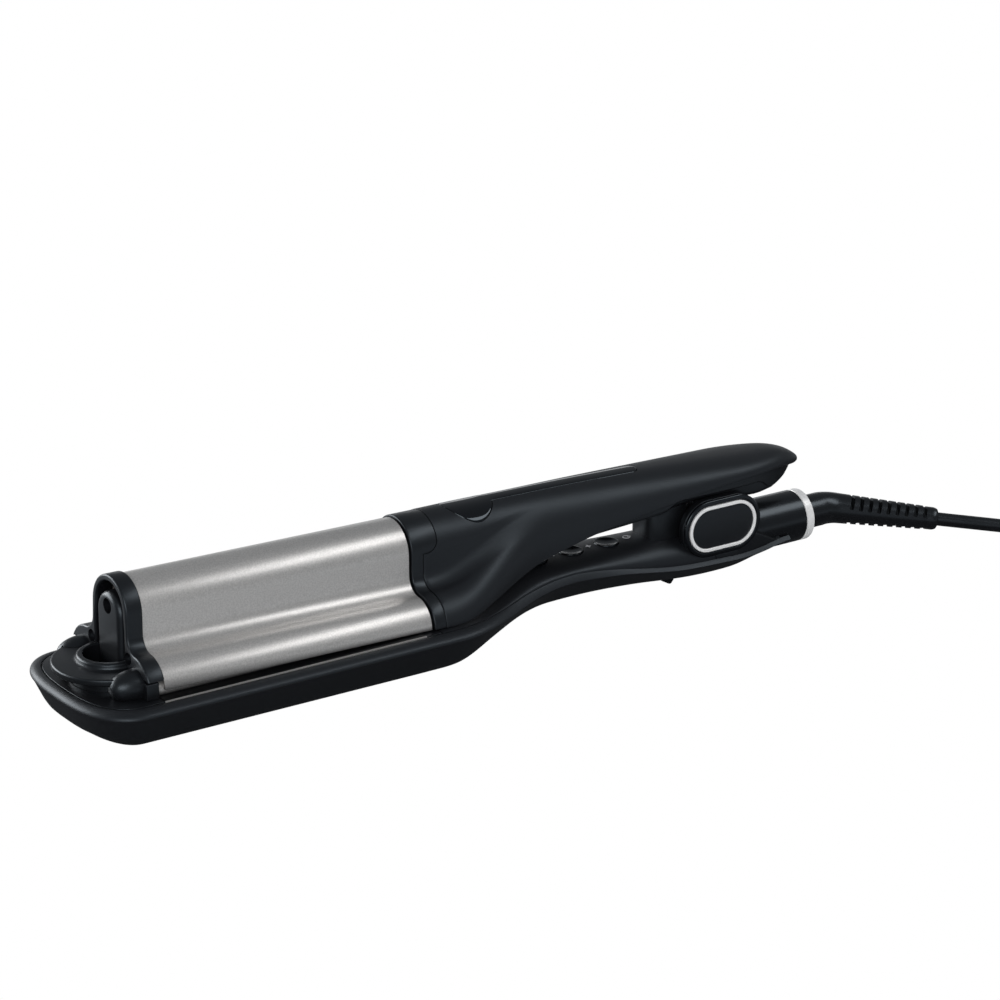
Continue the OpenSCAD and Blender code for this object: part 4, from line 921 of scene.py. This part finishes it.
class WAVER_OT_handle(WaverPiece):
    """Makes the handle's cover, the hinge housing and the rear barrel"""
    bl_idname = "waver.handle"
    bl_label = "Handle, housing and rear barrel"

    def section(self, x, less=0.0):
        """The cover's squared arch at station x, with its flanges down inside the shell."""
        w, z = half_width(x) - 0.15 - less, parting(x)
        h = cover_top(x) - z - less
        arch = [squared(radians(a), 2.1) for a in steps(90, 0, 26)]
        return mirrored([(x, w * c, z + h * s) for c, s in arch] + [(x, w, z - DECK)])

    def cover(self, name, xs):
        """A cover over stations xs, drawn in a little at both ends."""
        less, lip = 0.3, 0.25
        rings = [self.section(xs[0], less)]
        rings += [self.section(x) for x in [xs[0] + lip] + xs[1:-1] + [xs[-1] - lip]]
        rings.append(self.section(xs[-1], less))
        return skin(name, rings, sharp=30)

    def make(self, scene):
        seam = HINGE_X - 3.4
        cover = self.cover("handle_top", [137.0] + steps(ARM_X, GRIP_X, 26) + steps(GRIP_X + 4, seam, 20))
        holes = [post("hole", x, 0, BUTTON_R + 0.25, 20, 30, 96) for _, x in BUTTONS]
        fit(cut(cover, *holes, *self.wells(), sharp=30), "base", "shell", "handle_cover")
        self.housing()
        self.barrel()

    def housing(self):
        body = self.cover("body", [HINGE_X - 3.2] + steps(HINGE_X - 2, HINGE_X + 9.4, 12))
        body = cut(body, *self.wells())
        outline = rounded(sheet_of(HINGE_X - 33, HINGE_X - 11, 9), 7, 8)
        pillar = slab("post", [outline], "z", 22, 38, 0.6)
        cheeks = [slab("cheek", [stadium(CHEEK_R)], "y", *sorted((side * 11.8, side * SEAT_Y)), 0.3)
                  for side, _ in SIDES]
        housing = joined("hinge_body", body, pillar, self.fairing(), *cheeks)
        fit(housing, "base", "cover", "hinge_housing")

    def wells(self):
        """Room for the hinge's lugs and the pod's caps."""
        pods = [slab("pod", [stadium(CHEEK_R + 0.15)], "y", *sorted((side * SEAT_Y, side * 40)), THIN)
                for side, _ in SIDES]
        return [brick("well", HINGE_X - 7.5, HINGE_X + 7.5, -9.6, 9.6, HINGE_Z - 7.5, 50)] + pods

    def fairing(self):
        """Low shoulders that run out along the rear barrel."""
        rings = []
        for x in steps(HINGE_X + 9.0, HINGE_X + 35, 26):
            w, z = half_width(x) - 0.2, parting(x)
            top = max(z + 0.15, through(x, [(HINGE_X + 6, 22), (HINGE_X + 14, 20.8), (HINGE_X + 20, 19),
                                            (HINGE_X + 27, 15.6), (HINGE_X + 35, 12)]))
            e = min(0.8, (top - z) / 2)
            side = [(x, 8.4, top + 2.2)]
            side += [(x, y, h) for y, h in arc(w - e, top - e, e, pi / 2, 0, 6)]
            rings.append(mirrored(side + [(x, w, z - DECK)]))
        return skin("fairing", rings, sharp=30)

    def barrel(self):
        start, r0, r1, bore, stop = HINGE_X + 9.8, BARREL_R, BARREL_R - 0.2, 9.2, RING_X - 0.05
        profile = turned((r0 - 0.5, start), (r0, start + 0.5), (r1 + 0.01, RING_X - 0.35), (r1 - 0.2, stop),
                         (bore, stop), (bore, RING_X - 6))
        barrel = lathe("barrel_sleeve", profile, "x", (0, 0, BARREL_Z), 128)
        seam = brick("seam", 300, RING_X + 1, -0.2, 0.2, BARREL_Z - 12, BARREL_Z - r1 + 0.25, THIN)
        fit(cut(barrel, seam, sharp=30), "base", "barrel", "rear_barrel")
        e, bore = 0.5, 7.6
        ring = [(bore, RING_X + 0.1), (r1 - 0.3, RING_X + 0.1), (r1, RING_X + 0.35)]
        ring += [(r1 - e + e * cos(a), RING_END - e + e * sin(a)) for a in steps(0, pi / 2, 5)]
        ring += [(bore + 0.5, RING_END), (bore, RING_END - 0.4)]
        fit(lathe("barrel_ring", ring, "x", (0, 0, BARREL_Z), 128), "base", "trim", "end_ring")


def stadium(r, half=CHEEK_HALF):
    """Side outline of the hinge pod: two half circles and the straights between them."""
    right = arc(HINGE_X + half, HINGE_Z, r, -pi / 2, pi / 2, 48)
    return right + [(2 * HINGE_X - x, z) for x, z in reversed(right)]


class WAVER_OT_pod(WaverPiece):
    """Makes the hinge pod's caps, silver trims and plates"""
    bl_idname = "waver.pod"
    bl_label = "Hinge pod"

    def make(self, scene):
        for side, name in SIDES:
            for what, outlines, a, b, edge, rows, colour, node in (
                    ("cap", [CHEEK_R, TRIM_R + 0.1], SEAT_Y, CHEEK_Y, scene.waver_shape.cap_edge / MM, 4,
                     "pod", "pivot_cap_"),
                    ("trim", [TRIM_R, TRIM_R - 1.5], CHEEK_Y - 1.1, CHEEK_Y + 0.3, 0.35, 3,
                     "trim", "trim_ring_"),
                    ("plate", [TRIM_R - 1.6], CHEEK_Y - 1.1, CHEEK_Y - 0.2, 0.12, 2,
                     "shell", "trim_plate_")):
                made = slab("pod_" + what + "_" + name, [stadium(r) for r in outlines], "y",
                            *sorted((side * a, side * b)), edge, rows)
                fit(made, "base", colour, node + name)


# ---- Dial and centre barrel ----

class WAVER_OT_dial(WaverPiece):
    """Makes the dial with its raised lip, and the centre barrel with its cap"""
    bl_idname = "waver.dial"
    bl_label = "Dial and centre barrel"

    def make(self, scene):
        z, r, bore = DIAL_Z, DIAL_R, 10.9
        profile = [(bore, z - 3), (r - 0.8, z - 3)] + arc(r - 0.8, z - 2.2, 0.8, -pi / 2, 0, 6)
        profile += arc(r - 0.9, z - 0.9, 0.9, 0, pi / 2, 8)
        profile += [(bore + 4.6, z), (bore + 3.6, z + 0.1), (bore + 3.1, z + 0.45), (bore + 2.85, z + 1.0)]
        profile += [(bore + 1.55 + 1.25 * cos(a), z + 1.5 + 1.1 * sin(a)) for a in steps(0.1, pi / 2, 8)]
        profile += arc(bore + 0.7, z + 1.9, 0.7, pi / 2, pi, 6)
        fit(lathe("dial_disc", profile, "z", (0, 0, 0), 160, 30), "dial", "cover", "dial_ring")
        self.barrel()

    def barrel(self):
        def tongue(r, low):
            return [[(r, low)] + arc(0, top - r, r, 0, pi, 48) + [(-r, low)]]
        top, low, seat = 55.3, 13, 25.5
        screw_z = top - 5.8
        front = slab("front", tongue(9.8, 39.2), "x", 7.8, seat + 0.1, 0.2)
        rear = slab("rear", tongue(9.8, low), "x", seat, 133, 0.2)
        fit(joined("middle_barrel", front, rear), "lift", "plate", "centre_barrel")
        cap = slab("cap", tongue(9.5, low + 0.1), "x", -0.4, 7.7, 2.6, rows=7)
        cap = cut(cap, rod("pit", -2, 4, 3.3, screw_z), rod("bore", -2, 6, 1.25, screw_z), sharp=30)
        head = rod("head", 2.9, 3.95, 2.6, screw_z)
        cross = [brick("slot", 2.5, 3.5, -a, a, screw_z - b, screw_z + b, THIN)
                 for a, b in ((1.6, 0.35), (0.35, 1.6))]
        head = cut(head, *cross)
        fixing = joined("cap_fixing", head, rod("shank", 3.9, 6, 1.2, screw_z))
        fit(fixing, "lift", "dark_steel", "cap_screw")
        foot = brick("foot", -4, 4, -9, 9, low + 0.05, 19, 0.3)
        fit(joined("middle_cap", cap, foot), "lift", "cover", "centre_cap")


# ---- Upper jaw ----

class WAVER_OT_jaw(WaverPiece):
    """Makes the silver upper plate, the front frame and the rear collar"""
    bl_idname = "waver.jaw"
    bl_label = "Upper jaw"

    def band(self, off, thick, low):
        """The jaw's section as a band of some thickness, open below."""
        return [both_sides(bell(off, low)) + both_sides(bell(off - thick, low))[::-1]]

    def make(self, scene):
        plate = slab("jaw_plate", self.band(-0.9, 1.6, SKIRT_Z), "x", PLATE_X, COLLAR_X - 0.9, 0.15)
        fit(plate, "jaw", "plate", "upper_plate", jaw=True)
        self.frame(scene.waver_shape.frame_edge / MM)
        self.collar()

    def frame(self, edge):
        low, pit_z = DIAL_Z - 0.6, DIAL_Z + 4.5
        hole = arc(0, ARCH_Z + 0.5, 11, pi / 2, 0, 36) + [(12.0, 42), (12.07, low)]
        outline = both_sides(bell(0, low)) + both_sides(hole)[::-1]
        front = slab("jaw_frame", [outline], "x", FRAME_X - 1, PLATE_X, edge, rows=4)
        front = cut(front, *[rod("pit", -2, 4.5, 2.7, pit_z, side * 15.2) for side, _ in SIDES])
        front.data.transform(JAW)
        dial = post("dial", 0, 0, DIAL_ROOM, 0, DIAL_Z + 0.3, 160)
        lips = [post("lip", 0, 0, r, 0, DIAL_Z + h, 96) for r, h in ((14.0, 2.2), (13.3, 2.9))]
        fit(cut(front, dial, *lips, sharp=30), "jaw", "cover", "front_frame")

    def collar(self):
        band = slab("band", self.band(0, 2.4, 22.1), "x", COLLAR_X, ARM_X - 0.15, 0.45, rows=3)
        bulk = slab("bulk", self.band(-2.3, 1.2, 24.0), "x", COLLAR_X - 0.8, ARM_X - 1, 0.1)
        tongue = slab("tongue", self.band(0, 2.4, 46.0), "x", COLLAR_X + 1, ARM_X + 12, 0.05)
        tongue = cut(tongue, slab("shape", [tab(0)], "y", -20, 20, THIN), how="INTERSECT")
        collar = cut(band, bulk, soften(tongue, 0.35), how="UNION", sharp=SHARP)
        collar.name = collar.data.name = "jaw_collar"
        fit(collar, "jaw", "cover", "rear_collar", jaw=True)


def tab(gap):
    """Side outline of the collar's round tongue."""
    x, z, r = ARM_X + 1.2, ARCH_Z + 6.5, 5.7 + gap
    back, high = COLLAR_X - 1, z + 30
    return [(back, z - r)] + arc(x, z, r, -pi / 2, -0.2, 20) + [(x + r, z + 2), (x + r, high), (back, high)]


class WAVER_OT_arm(WaverPiece):
    """Makes the arm's shell, its gloss inlay and the cover below it"""
    bl_idname = "waver.arm"
    bl_label = "Sprung arm"

    def make(self, scene):
        xs = ([ARM_X, ARM_X + 0.3] + steps(ARM_X + 2, GRIP_X, 40) + steps(GRIP_X + 4, HINGE_X + 6, 26)
              + steps(TAIL_X, ARM_END - 2, 34)
              + [ARM_END - 2 * t for t in (0.75, 0.55, 0.38, 0.24, 0.13, 0.05, 0)])
        rings = []
        for x in xs:
            half = arm_half_ring(x)
            if x == ARM_X:
                half = shrunk(half, 0.3)
            w, low = half[-1]
            lip = [(x, max(w - inset, least), low + rise) for inset, least, rise in (
                (0.25, 0.05, -0.22), (1.6, 0.04, -0.2), (1.9, 0.03, 0.6))]
            rings.append(mirrored([(x, y, z) for y, z in half] + lip))
        shell = skin("arm_top", rings, sharp=35)
        well = self.patch("well", 0.3, -1.0, 1.5)
        shell = cut(shell, slab("notch", [tab(0.35)], "y", -22, 22, THIN), well, sharp=35)
        fit(shell, "jaw", "shell", "arm_shell", jaw=True)
        inlay = self.patch("arm_inlay", 0.0, -0.9, scene.waver_shape.inlay_rise / MM, 0.18)
        fit(inlay, "jaw", "gloss", "gloss_inlay", jaw=True)
        self.cover()

    def top(self, x, y):
        """Height of the arm's top at station x, y to the side."""
        ring = arm_half_ring(x)
        y = abs(y)
        for (y0, z0), (y1, z1) in zip(ring, ring[1:]):
            if y <= y1:
                return z0 + (z1 - z0) * (y - y0) / max(y1 - y0, 1e-9)
        return ring[-1][1]

    def patch(self, name, gap, low, high, edge=0.0):
        """A disc with a strip behind it that follows the arm's top, from low to high over it."""
        cx, r, half, end = INLAY_X, INLAY_R + gap, INLAY_HALF + gap, INLAY_END + gap
        xs = [cx - r * cos(t) for t in steps(0.02, pi / 2, 30)]
        xs += steps(cx + 1, cx + sqrt(r * r - half * half), 14) + steps(cx + 12.5, end - half, 30)
        xs += [end - half + half * sin(t) for t in steps(0.1, pi / 2 - 0.03, 14)]
        rings = []
        for x in xs:
            w = sqrt(max(r * r - (x - cx) ** 2, 0)) if x < cx + r else 0
            if x > cx:
                w = max(w, half if x < end - half else sqrt(max(half ** 2 - (x - end + half) ** 2, 0)))
            w = max(w, 0.05)
            across = [w * t for t in (-1, -0.97, -0.9, -0.75, -0.55, -0.3, 0, 0.3, 0.55, 0.75, 0.9, 0.97, 1)]
            tops = []
            for y in across:
                near = min(w - abs(y), x - xs[0], xs[-1] - x)
                bulge = between(0, 0.35, cx + 6, cx + 18, x) * (1 - (y / w) ** 2) if edge else 0
                tops.append((x, y, self.top(x, y) + high + bulge - edge * max(0, 1 - near / 0.35) ** 2))
            rings.append(tops + [(x, y, self.top(x, y) + low) for y in reversed(across)])
        return skin(name, rings, sharp=40)

    def cover(self):
        """The floor of the arm, raised over the handle and deep at the hinge."""
        end = HINGE_X + 48.6
        rings = []
        for x in ([ARM_X + 2] + steps(ARM_X + 4, GRIP_X, 20) + steps(GRIP_X + 4, end - 2, 40)
                  + [end - 2 * t for t in (0.7, 0.45, 0.25, 0.1, 0)]):
            inset = 1.9 + between(2.2, 0, ARM_X + 10, GRIP_X, x)
            w = max(0.3, (arm_half(x) - inset) * sqrt(max(0, 1 - clamp((x - end + 14) / 14) ** 3)))
            z = in_jaw(x, cover_low(x))
            top = in_jaw(x, arm_edge(x)) + between(1.5, 0.2, HINGE_X + 26, HINGE_X + 32, x)
            near = between(1, 0, 21.5, 30, abs(x - HINGE_X))
            step_z = z + 1 + (in_jaw(x, 42) - z - 1) * near
            inner = max(0.2, w - 0.5 - max(w - 12, 0) * near)
            side = [(w, max(top, z + 1.8)), (w, step_z + 0.5), (max(w - 0.5, inner), step_z),
                    (inner, step_z - 0.05)]
            e = min(1.9, step_z - z - 0.15, inner)
            side += [(inner - e + e * cos(a), z + e * (1 - sin(a))) for a in steps(0, pi / 2, 7)]
            rings.append(mirrored([(x, y, h) for y, h in side]))
        well = brick("well", HINGE_X - 10, HINGE_X + 10, -9.5, 9.5, 20 + NOSE_SINK, 42.2 + NOSE_SINK)
        cover = cut(skin("arm_floor", rings, sharp=35), well, sharp=35)
        fit(cover, "jaw", "cover", "arm_cover", jaw=True)


def shrunk(half, by):
    """A half section drawn in a little, for the rounded end of a shell."""
    top, low = half[0][1], half[-1][1]
    k = 1 - by / max(half[-1][0], 1)
    return [(y * k, low + (z - low) * (1 - by / max(top - low, 1))) for y, z in half]


# ---- Controls ----

class WAVER_OT_controls(WaverPiece):
    """Makes the dished buttons and the jaw lock"""
    bl_idname = "waver.controls"
    bl_label = "Buttons and lock"

    def make(self, scene):
        dish, r, top, base = scene.waver_shape.dish / MM, BUTTON_R, 25.4, 20.3
        brim, e = r - 0.6, 0.35
        curve = (brim ** 2 + dish ** 2) / (2 * dish)
        profile = [(AXIS, base), (r + 0.9, base), (r + 0.9, base + 1.4), (r, base + 1.4)]
        profile += arc(r - e, top - e, e, 0, pi / 2, 5)
        profile += [(q, top - dish + curve - sqrt(curve ** 2 - q * q)) for q in steps(brim, 0.05, 14)]
        for name, x in BUTTONS:
            fit(lathe("button_" + name, profile, "z", (x, 0, 0), 96, 30), name, "pod", name + "_button")
        self.lock()

    def lock(self):
        x, inner = HINGE_X - 20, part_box("lock_slider")[1].z / MM - 1.4
        outline = [(x - 4.4, 3.2), (x - 1.4, 1.5), (x - 0.4, 1.5), (x + 1, 3.2), (x + 1, 4), (x - 5, 4)]
        nub = slab("nub", [rounded(outline, 0.5)], "y", -7, 7, 0.25)
        ribs = [brick("rib", x + d, x + d + 0.5, -5.5, 5.5, 0.73 - 0.5 * d, 3.2, 0.1) for d in (-3.6, -2.6)]
        neck = brick("neck", x - 3, x + 3, -3.2, 3.2, 3, 7, 0.1)
        plate = brick("plate", x - 8, x + 4, -6, 6, inner, inner + 1.4, 0.1)
        fit(joined("lock_nub", nub, *ribs, neck, plate), "lock", "pod", "lock_slider")


# ---- Lead ----

BEND, ROLL, BEND_R = radians(31), radians(15.7), 16.0
BEND_CUT = BEND_R * tan(BEND / 2)
BEND_X = RING_END + 15 - BEND_CUT
STRAIGHT = 50.4 - BEND_CUT
RELIEF_R, MOUTH_R, MOUTH_S, ROUND_S = 7.5, 5.1, 1.875, 1.94
SLOT_S, SLOTS_LONG = 1.11, 0.73  # the first slot's place along the relief, and the row's length
COIL = (339.6, -30.3)
COIL_RADII, INNER = (43, 37, 31, 25, 28, 34, 40, 40), 3  # of each turn in order, and the innermost turn
COIL_LOW, COIL_HIGH, COIL_RIM = 3.0, 8.2, 40
COIL_START, STEP_AT, STEP_LONG, LAST_TURN = 240, 310, 50, 300  # degrees
TAIL_A, TAIL_R, TAIL_Z = radians(185), 33.5, 14.35
GRIP_Y, GRIP_R = 10.6, 6.9


def relief_point(s):
    """Centre line of the strain relief: 0 to 1 round the bend, to 2 along the straight."""
    if s <= 0:
        u, v = BEND_X + s * (BEND_X - RING_END), 0.0
    else:
        a = BEND * min(s, 1)
        t = max(s - 1, 0) * STRAIGHT
        u = BEND_X + BEND_R * sin(a) + t * cos(BEND)
        v = BEND_R * (1 - cos(a)) + t * sin(BEND)
    return Vector((u, -v * cos(ROLL), BARREL_Z - v * sin(ROLL)))


def relief_heading(s):
    a = BEND * clamp(s)
    return Vector((cos(a), -sin(a) * cos(ROLL), -sin(a) * sin(ROLL)))


def coil_point(x, y, z):
    """A point over the coil, in axes turned to where the lead leaves it."""
    c, s = cos(TAIL_A), sin(TAIL_A)
    return COIL[0] + x * c - y * s, COIL[1] + x * s + y * c, z


def lead_route():
    """The lead's whole way in the row's millimetres: out, down, through the coil and on to the plug."""
    end = relief_point(1.985) + Vector((DIAL_AT, 0, 0))
    pts = [tuple(end), (249.5, -27.55, 8.68), (254.5, -30.5, 7.9), (264, -36, 6.4), (273.5, -41.5, 4.9),
           (280.5, -45.6, 3.9), (288.5, -50.2, 3.25), (297.3, -55.35, 3.05), (304, -59.3, 3.0),
           (311, -63.35, 3.0)]
    for k, (r, following) in enumerate(zip(COIL_RADII, COIL_RADII[1:])):
        last = k == len(COIL_RADII) - 2
        for i in range(0, LAST_TURN if last else 360, 10):
            share = 0 if last else ease((i - STEP_AT) / STEP_LONG)
            z = COIL_LOW if k <= INNER else COIL_HIGH
            out = r + (following - r) * share
            if k == INNER:
                out = r
            elif k == INNER + 1:
                climb = ease(i / 80)
                inner = COIL_RADII[INNER]
                out = inner + (r - inner) * climb + (following - r) * share
                z = COIL_LOW + (COIL_HIGH - COIL_LOW) * climb
            elif last:
                z += (TAIL_Z - COIL_HIGH) * ease((i - 262) / 40)
            z += 0.9 * sin(pi * share) if k > INNER else 0
            a = radians(COIL_START + i)
            pts.append((COIL[0] + out * cos(a), COIL[1] + out * sin(a), z))
    pts += [coil_point(COIL_RIM, y, TAIL_Z) for y in (0.5, 6)]
    for a in range(12, 181, 12):
        x, y = arc(COIL_RIM - TAIL_R, 6, TAIL_R, radians(a), 0, 1)[0]
        pts.append(coil_point(x, y, TAIL_Z + a / 300))
    pts.append(coil_point(COIL_RIM - 2 * TAIL_R, 3.5, 15.0))
    return pts


class WAVER_OT_lead(WaverPiece):
    """Makes the strain relief, the lead in its coil, the tie and the plug"""
    bl_idname = "waver.lead"
    bl_label = "Lead"

    def make(self, scene):
        lead = scene.waver_lead
        fit(self.relief(lead), "lead", "rubber", "strain_relief")
        start, groove, stop = 340.3, RING_X - 0.3, RING_END - 0.1
        core = turned((8.7, start), (9, start + 0.3), (9, groove - 0.3), (8.7, groove), (7.5, groove),
                      (7.5, stop))
        fit(lathe("swivel_core", core, "x", (0, 0, BARREL_Z)), "lead", "cover", "swivel_ball")
        tie = self.tie()
        plug = self.plug()
        self.cord(lead, [tie, plug, "plug_pins"])

    def relief_radius(self, s):
        """Radius of the sleeve: it thins along the bend and more along the straight, to a round end."""
        if s > ROUND_S:
            return MOUTH_R - 1.3 * (1 - sqrt(max(0, 1 - ((s - ROUND_S) / (2 - ROUND_S)) ** 2)))
        if s > MOUTH_S:
            return MOUTH_R
        return RELIEF_R - 0.7 * clamp(s) - 1.75 * max(s - 1, 0)

    def relief(self, lead):
        """The sleeve with two rows of slots and the loop for hanging."""
        rings = []
        for s in steps(-1, 0, 4) + steps(0.08, 1, 12) + steps(1.03, ROUND_S, 44) + steps(1.946, 2.0, 8):
            d = relief_heading(s)
            u = Vector((0, 0, 1)).cross(d).normalized()
            w = d.cross(u)
            rings.append([tuple(relief_point(s) + y * u + z * w)
                          for y, z in arc(0, 0, self.relief_radius(s), 0, 2 * pi, 48)[:-1]])
        body = skin("relief", rings, sharp=35)
        half_gap = lead.rib_gap / MM / 2
        turn = Matrix.Rotation(ROLL, 4, "X") @ Matrix.Rotation(-BEND, 4, "Z")
        outline = rounded([(-5.6, 2.9), (5.6, 2.9), (5.6, 9), (-5.6, 9)], 0.7)
        tools = []
        for i in range(lead.ribs):
            at = relief_point(SLOT_S + SLOTS_LONG * i / (lead.ribs - 1))
            at = Matrix.Translation(row(at)) @ turn
            for side, _ in SIDES:
                lean = Matrix.Rotation(radians(14 * side), 4, "Y")
                flip = Matrix.Rotation(pi if side < 0 else 0, 4, "X")
                tools.append(moved(slab("slot", [outline], "x", -half_gap, half_gap), at @ lean @ flip))
        body = cut(body, *tools, sharp=35)
        at = relief_point(1.32) + Vector((0, 8.2, 1.5))
        loop = lathe("loop", arc(4.3, 0, 1.3, 0, 2 * pi, 24)[:-1], "z", at, 48)
        return joined("relief_sleeve", body, loop)

    def tie(self):
        """A flat band round one side of the coil."""
        def outline(grow, r):
            x0, x1, z0, z1 = 21.4 - grow, 46.6 + grow, 1.02 - grow, 11.4 + grow
            return rounded([(x0, z0), (x1, z0), (x1, z1), (x0, z1)], r)
        band = slab("tie", [outline(0.9, 2), outline(0, 1.2)], "y", -3.5, 3.5, 0.2)
        at = Matrix.Translation((COIL[0] * MM, COIL[1] * MM, 0))
        return fit(moved(band, at @ Matrix.Rotation(radians(110), 4, "Z")), "lead", "rubber", "coil_tie")

    def plug(self):
        """The plug's body with its grip rings and its stepped stub for the lead."""
        def loop(r):
            right = arc(GRIP_Y, 0, r, -pi / 2, pi / 2, 20)
            return [right + [(-y, z) for y, z in reversed(right)]]
        body = slab("body", loop(GRIP_R), "y", 8, 37, 0.8, rows=4)
        pin_r, pin_x = 2.05, 9.5
        pits = [lathe("pit", turned((pin_r, 30), (pin_r, 40)), "y", (side * pin_x, 0, 0), 32)
                for side, _ in SIDES]
        body = cut(body, *pits)
        grips = [slab("grip", loop(GRIP_R + 0.1), "y", 12 + 3 * i, 13.4 + 3 * i) for i in range(4)]
        stub = turned((3.3, 0), (3.9, 0.6), (3.3, 1.6), (3.9, 2.6), (3.4, 3.6), (4.0, 4.6), (4.0, 9))
        plug = joined("mains_plug", body, lathe("stub", stub, "y", (0, 0, -3), 48), *grips)
        at = Vector(coil_point(COIL_RIM - 2 * TAIL_R, 5.7, 18.3)) * MM
        turn = Matrix.Rotation(TAIL_A + pi, 4, "Z")
        return fit(moved(plug, Matrix.Translation(at) @ turn), "lead", "rubber", "plug")

    def cord(self, lead, on_it):
        pts = lead_route()
        curve = bpy.data.curves.new("mains_lead", "CURVE")
        curve.dimensions = "3D"
        spline = curve.splines.new("BEZIER")
        spline.bezier_points.add(len(pts) - 1)
        for point, p in zip(spline.bezier_points, pts):
            point.co = Vector(p) * MM
            point.handle_left_type = point.handle_right_type = "AUTO"
        spline.resolution_u = 4
        curve.bevel_depth = lead.width / 2
        curve.bevel_resolution = 6
        curve.use_fill_caps = True
        cord = fit(placed("mains_lead", curve), "lead", "rubber", "cord", "cord_coil")


# ---- Inner parts ----

class WAVER_OT_inside(WaverPiece):
    """Gives the pins, screws, heaters and boards their finishes"""
    bl_idname = "waver.inside"
    bl_label = "Inner parts"

    def make(self, scene):
        dress("steel", "hinge_pin", "torsion_spring", "case_screws", "lift_pin", "frame_screws",
              "hinge_bracket", "plug_pins")
        dress("ceramic", "lower_heaters", "centre_heater", "upper_heater", "terminal_block")
        dress("board", "circuit_board")
        dress("mark", "button_symbols")
        dress("cover", "dial_bearing", "cam_sleeve")


# ---- Add-on ----

GROUPS = (("waver_shape", WaverShapeSettings), ("waver_lead", WaverLeadSettings),
          ("waver_finish", WaverFinishSettings))
STEPS = (WAVER_OT_stage, WAVER_OT_finishes, WAVER_OT_lead, WAVER_OT_shell, WAVER_OT_barrels, WAVER_OT_handle,
         WAVER_OT_pod, WAVER_OT_dial, WAVER_OT_jaw, WAVER_OT_arm, WAVER_OT_controls, WAVER_OT_inside)


class WAVER_PT_panel(bpy.types.Panel):
    """Lists the hair waver's settings and steps"""
    bl_label = "Hair Waver"
    bl_idname = "WAVER_PT_panel"
    bl_space_type = "VIEW_3D"
    bl_region_type = "UI"
    bl_category = "Hair Waver"

    def draw(self, context):
        for name, group in GROUPS:
            box = self.layout.box()
            for key in group.__annotations__:
                box.prop(getattr(context.scene, name), key)
        for step in STEPS:
            self.layout.operator(step.bl_idname)


def register():
    for name, group in GROUPS:
        bpy.utils.register_class(group)
        setattr(bpy.types.Scene, name, PointerProperty(type=group))
    for step in STEPS:
        bpy.utils.register_class(step)
    bpy.utils.register_class(WAVER_PT_panel)


def unregister():
    bpy.utils.unregister_class(WAVER_PT_panel)
    for step in reversed(STEPS):
        bpy.utils.unregister_class(step)
    for name, group in reversed(GROUPS):
        delattr(bpy.types.Scene, name)
        bpy.utils.unregister_class(group)


def main():
    register()
    for step in STEPS:
        area, name = step.bl_idname.split(".")
        getattr(getattr(bpy.ops, area), name)()


if __name__ == "__main__":
    main()
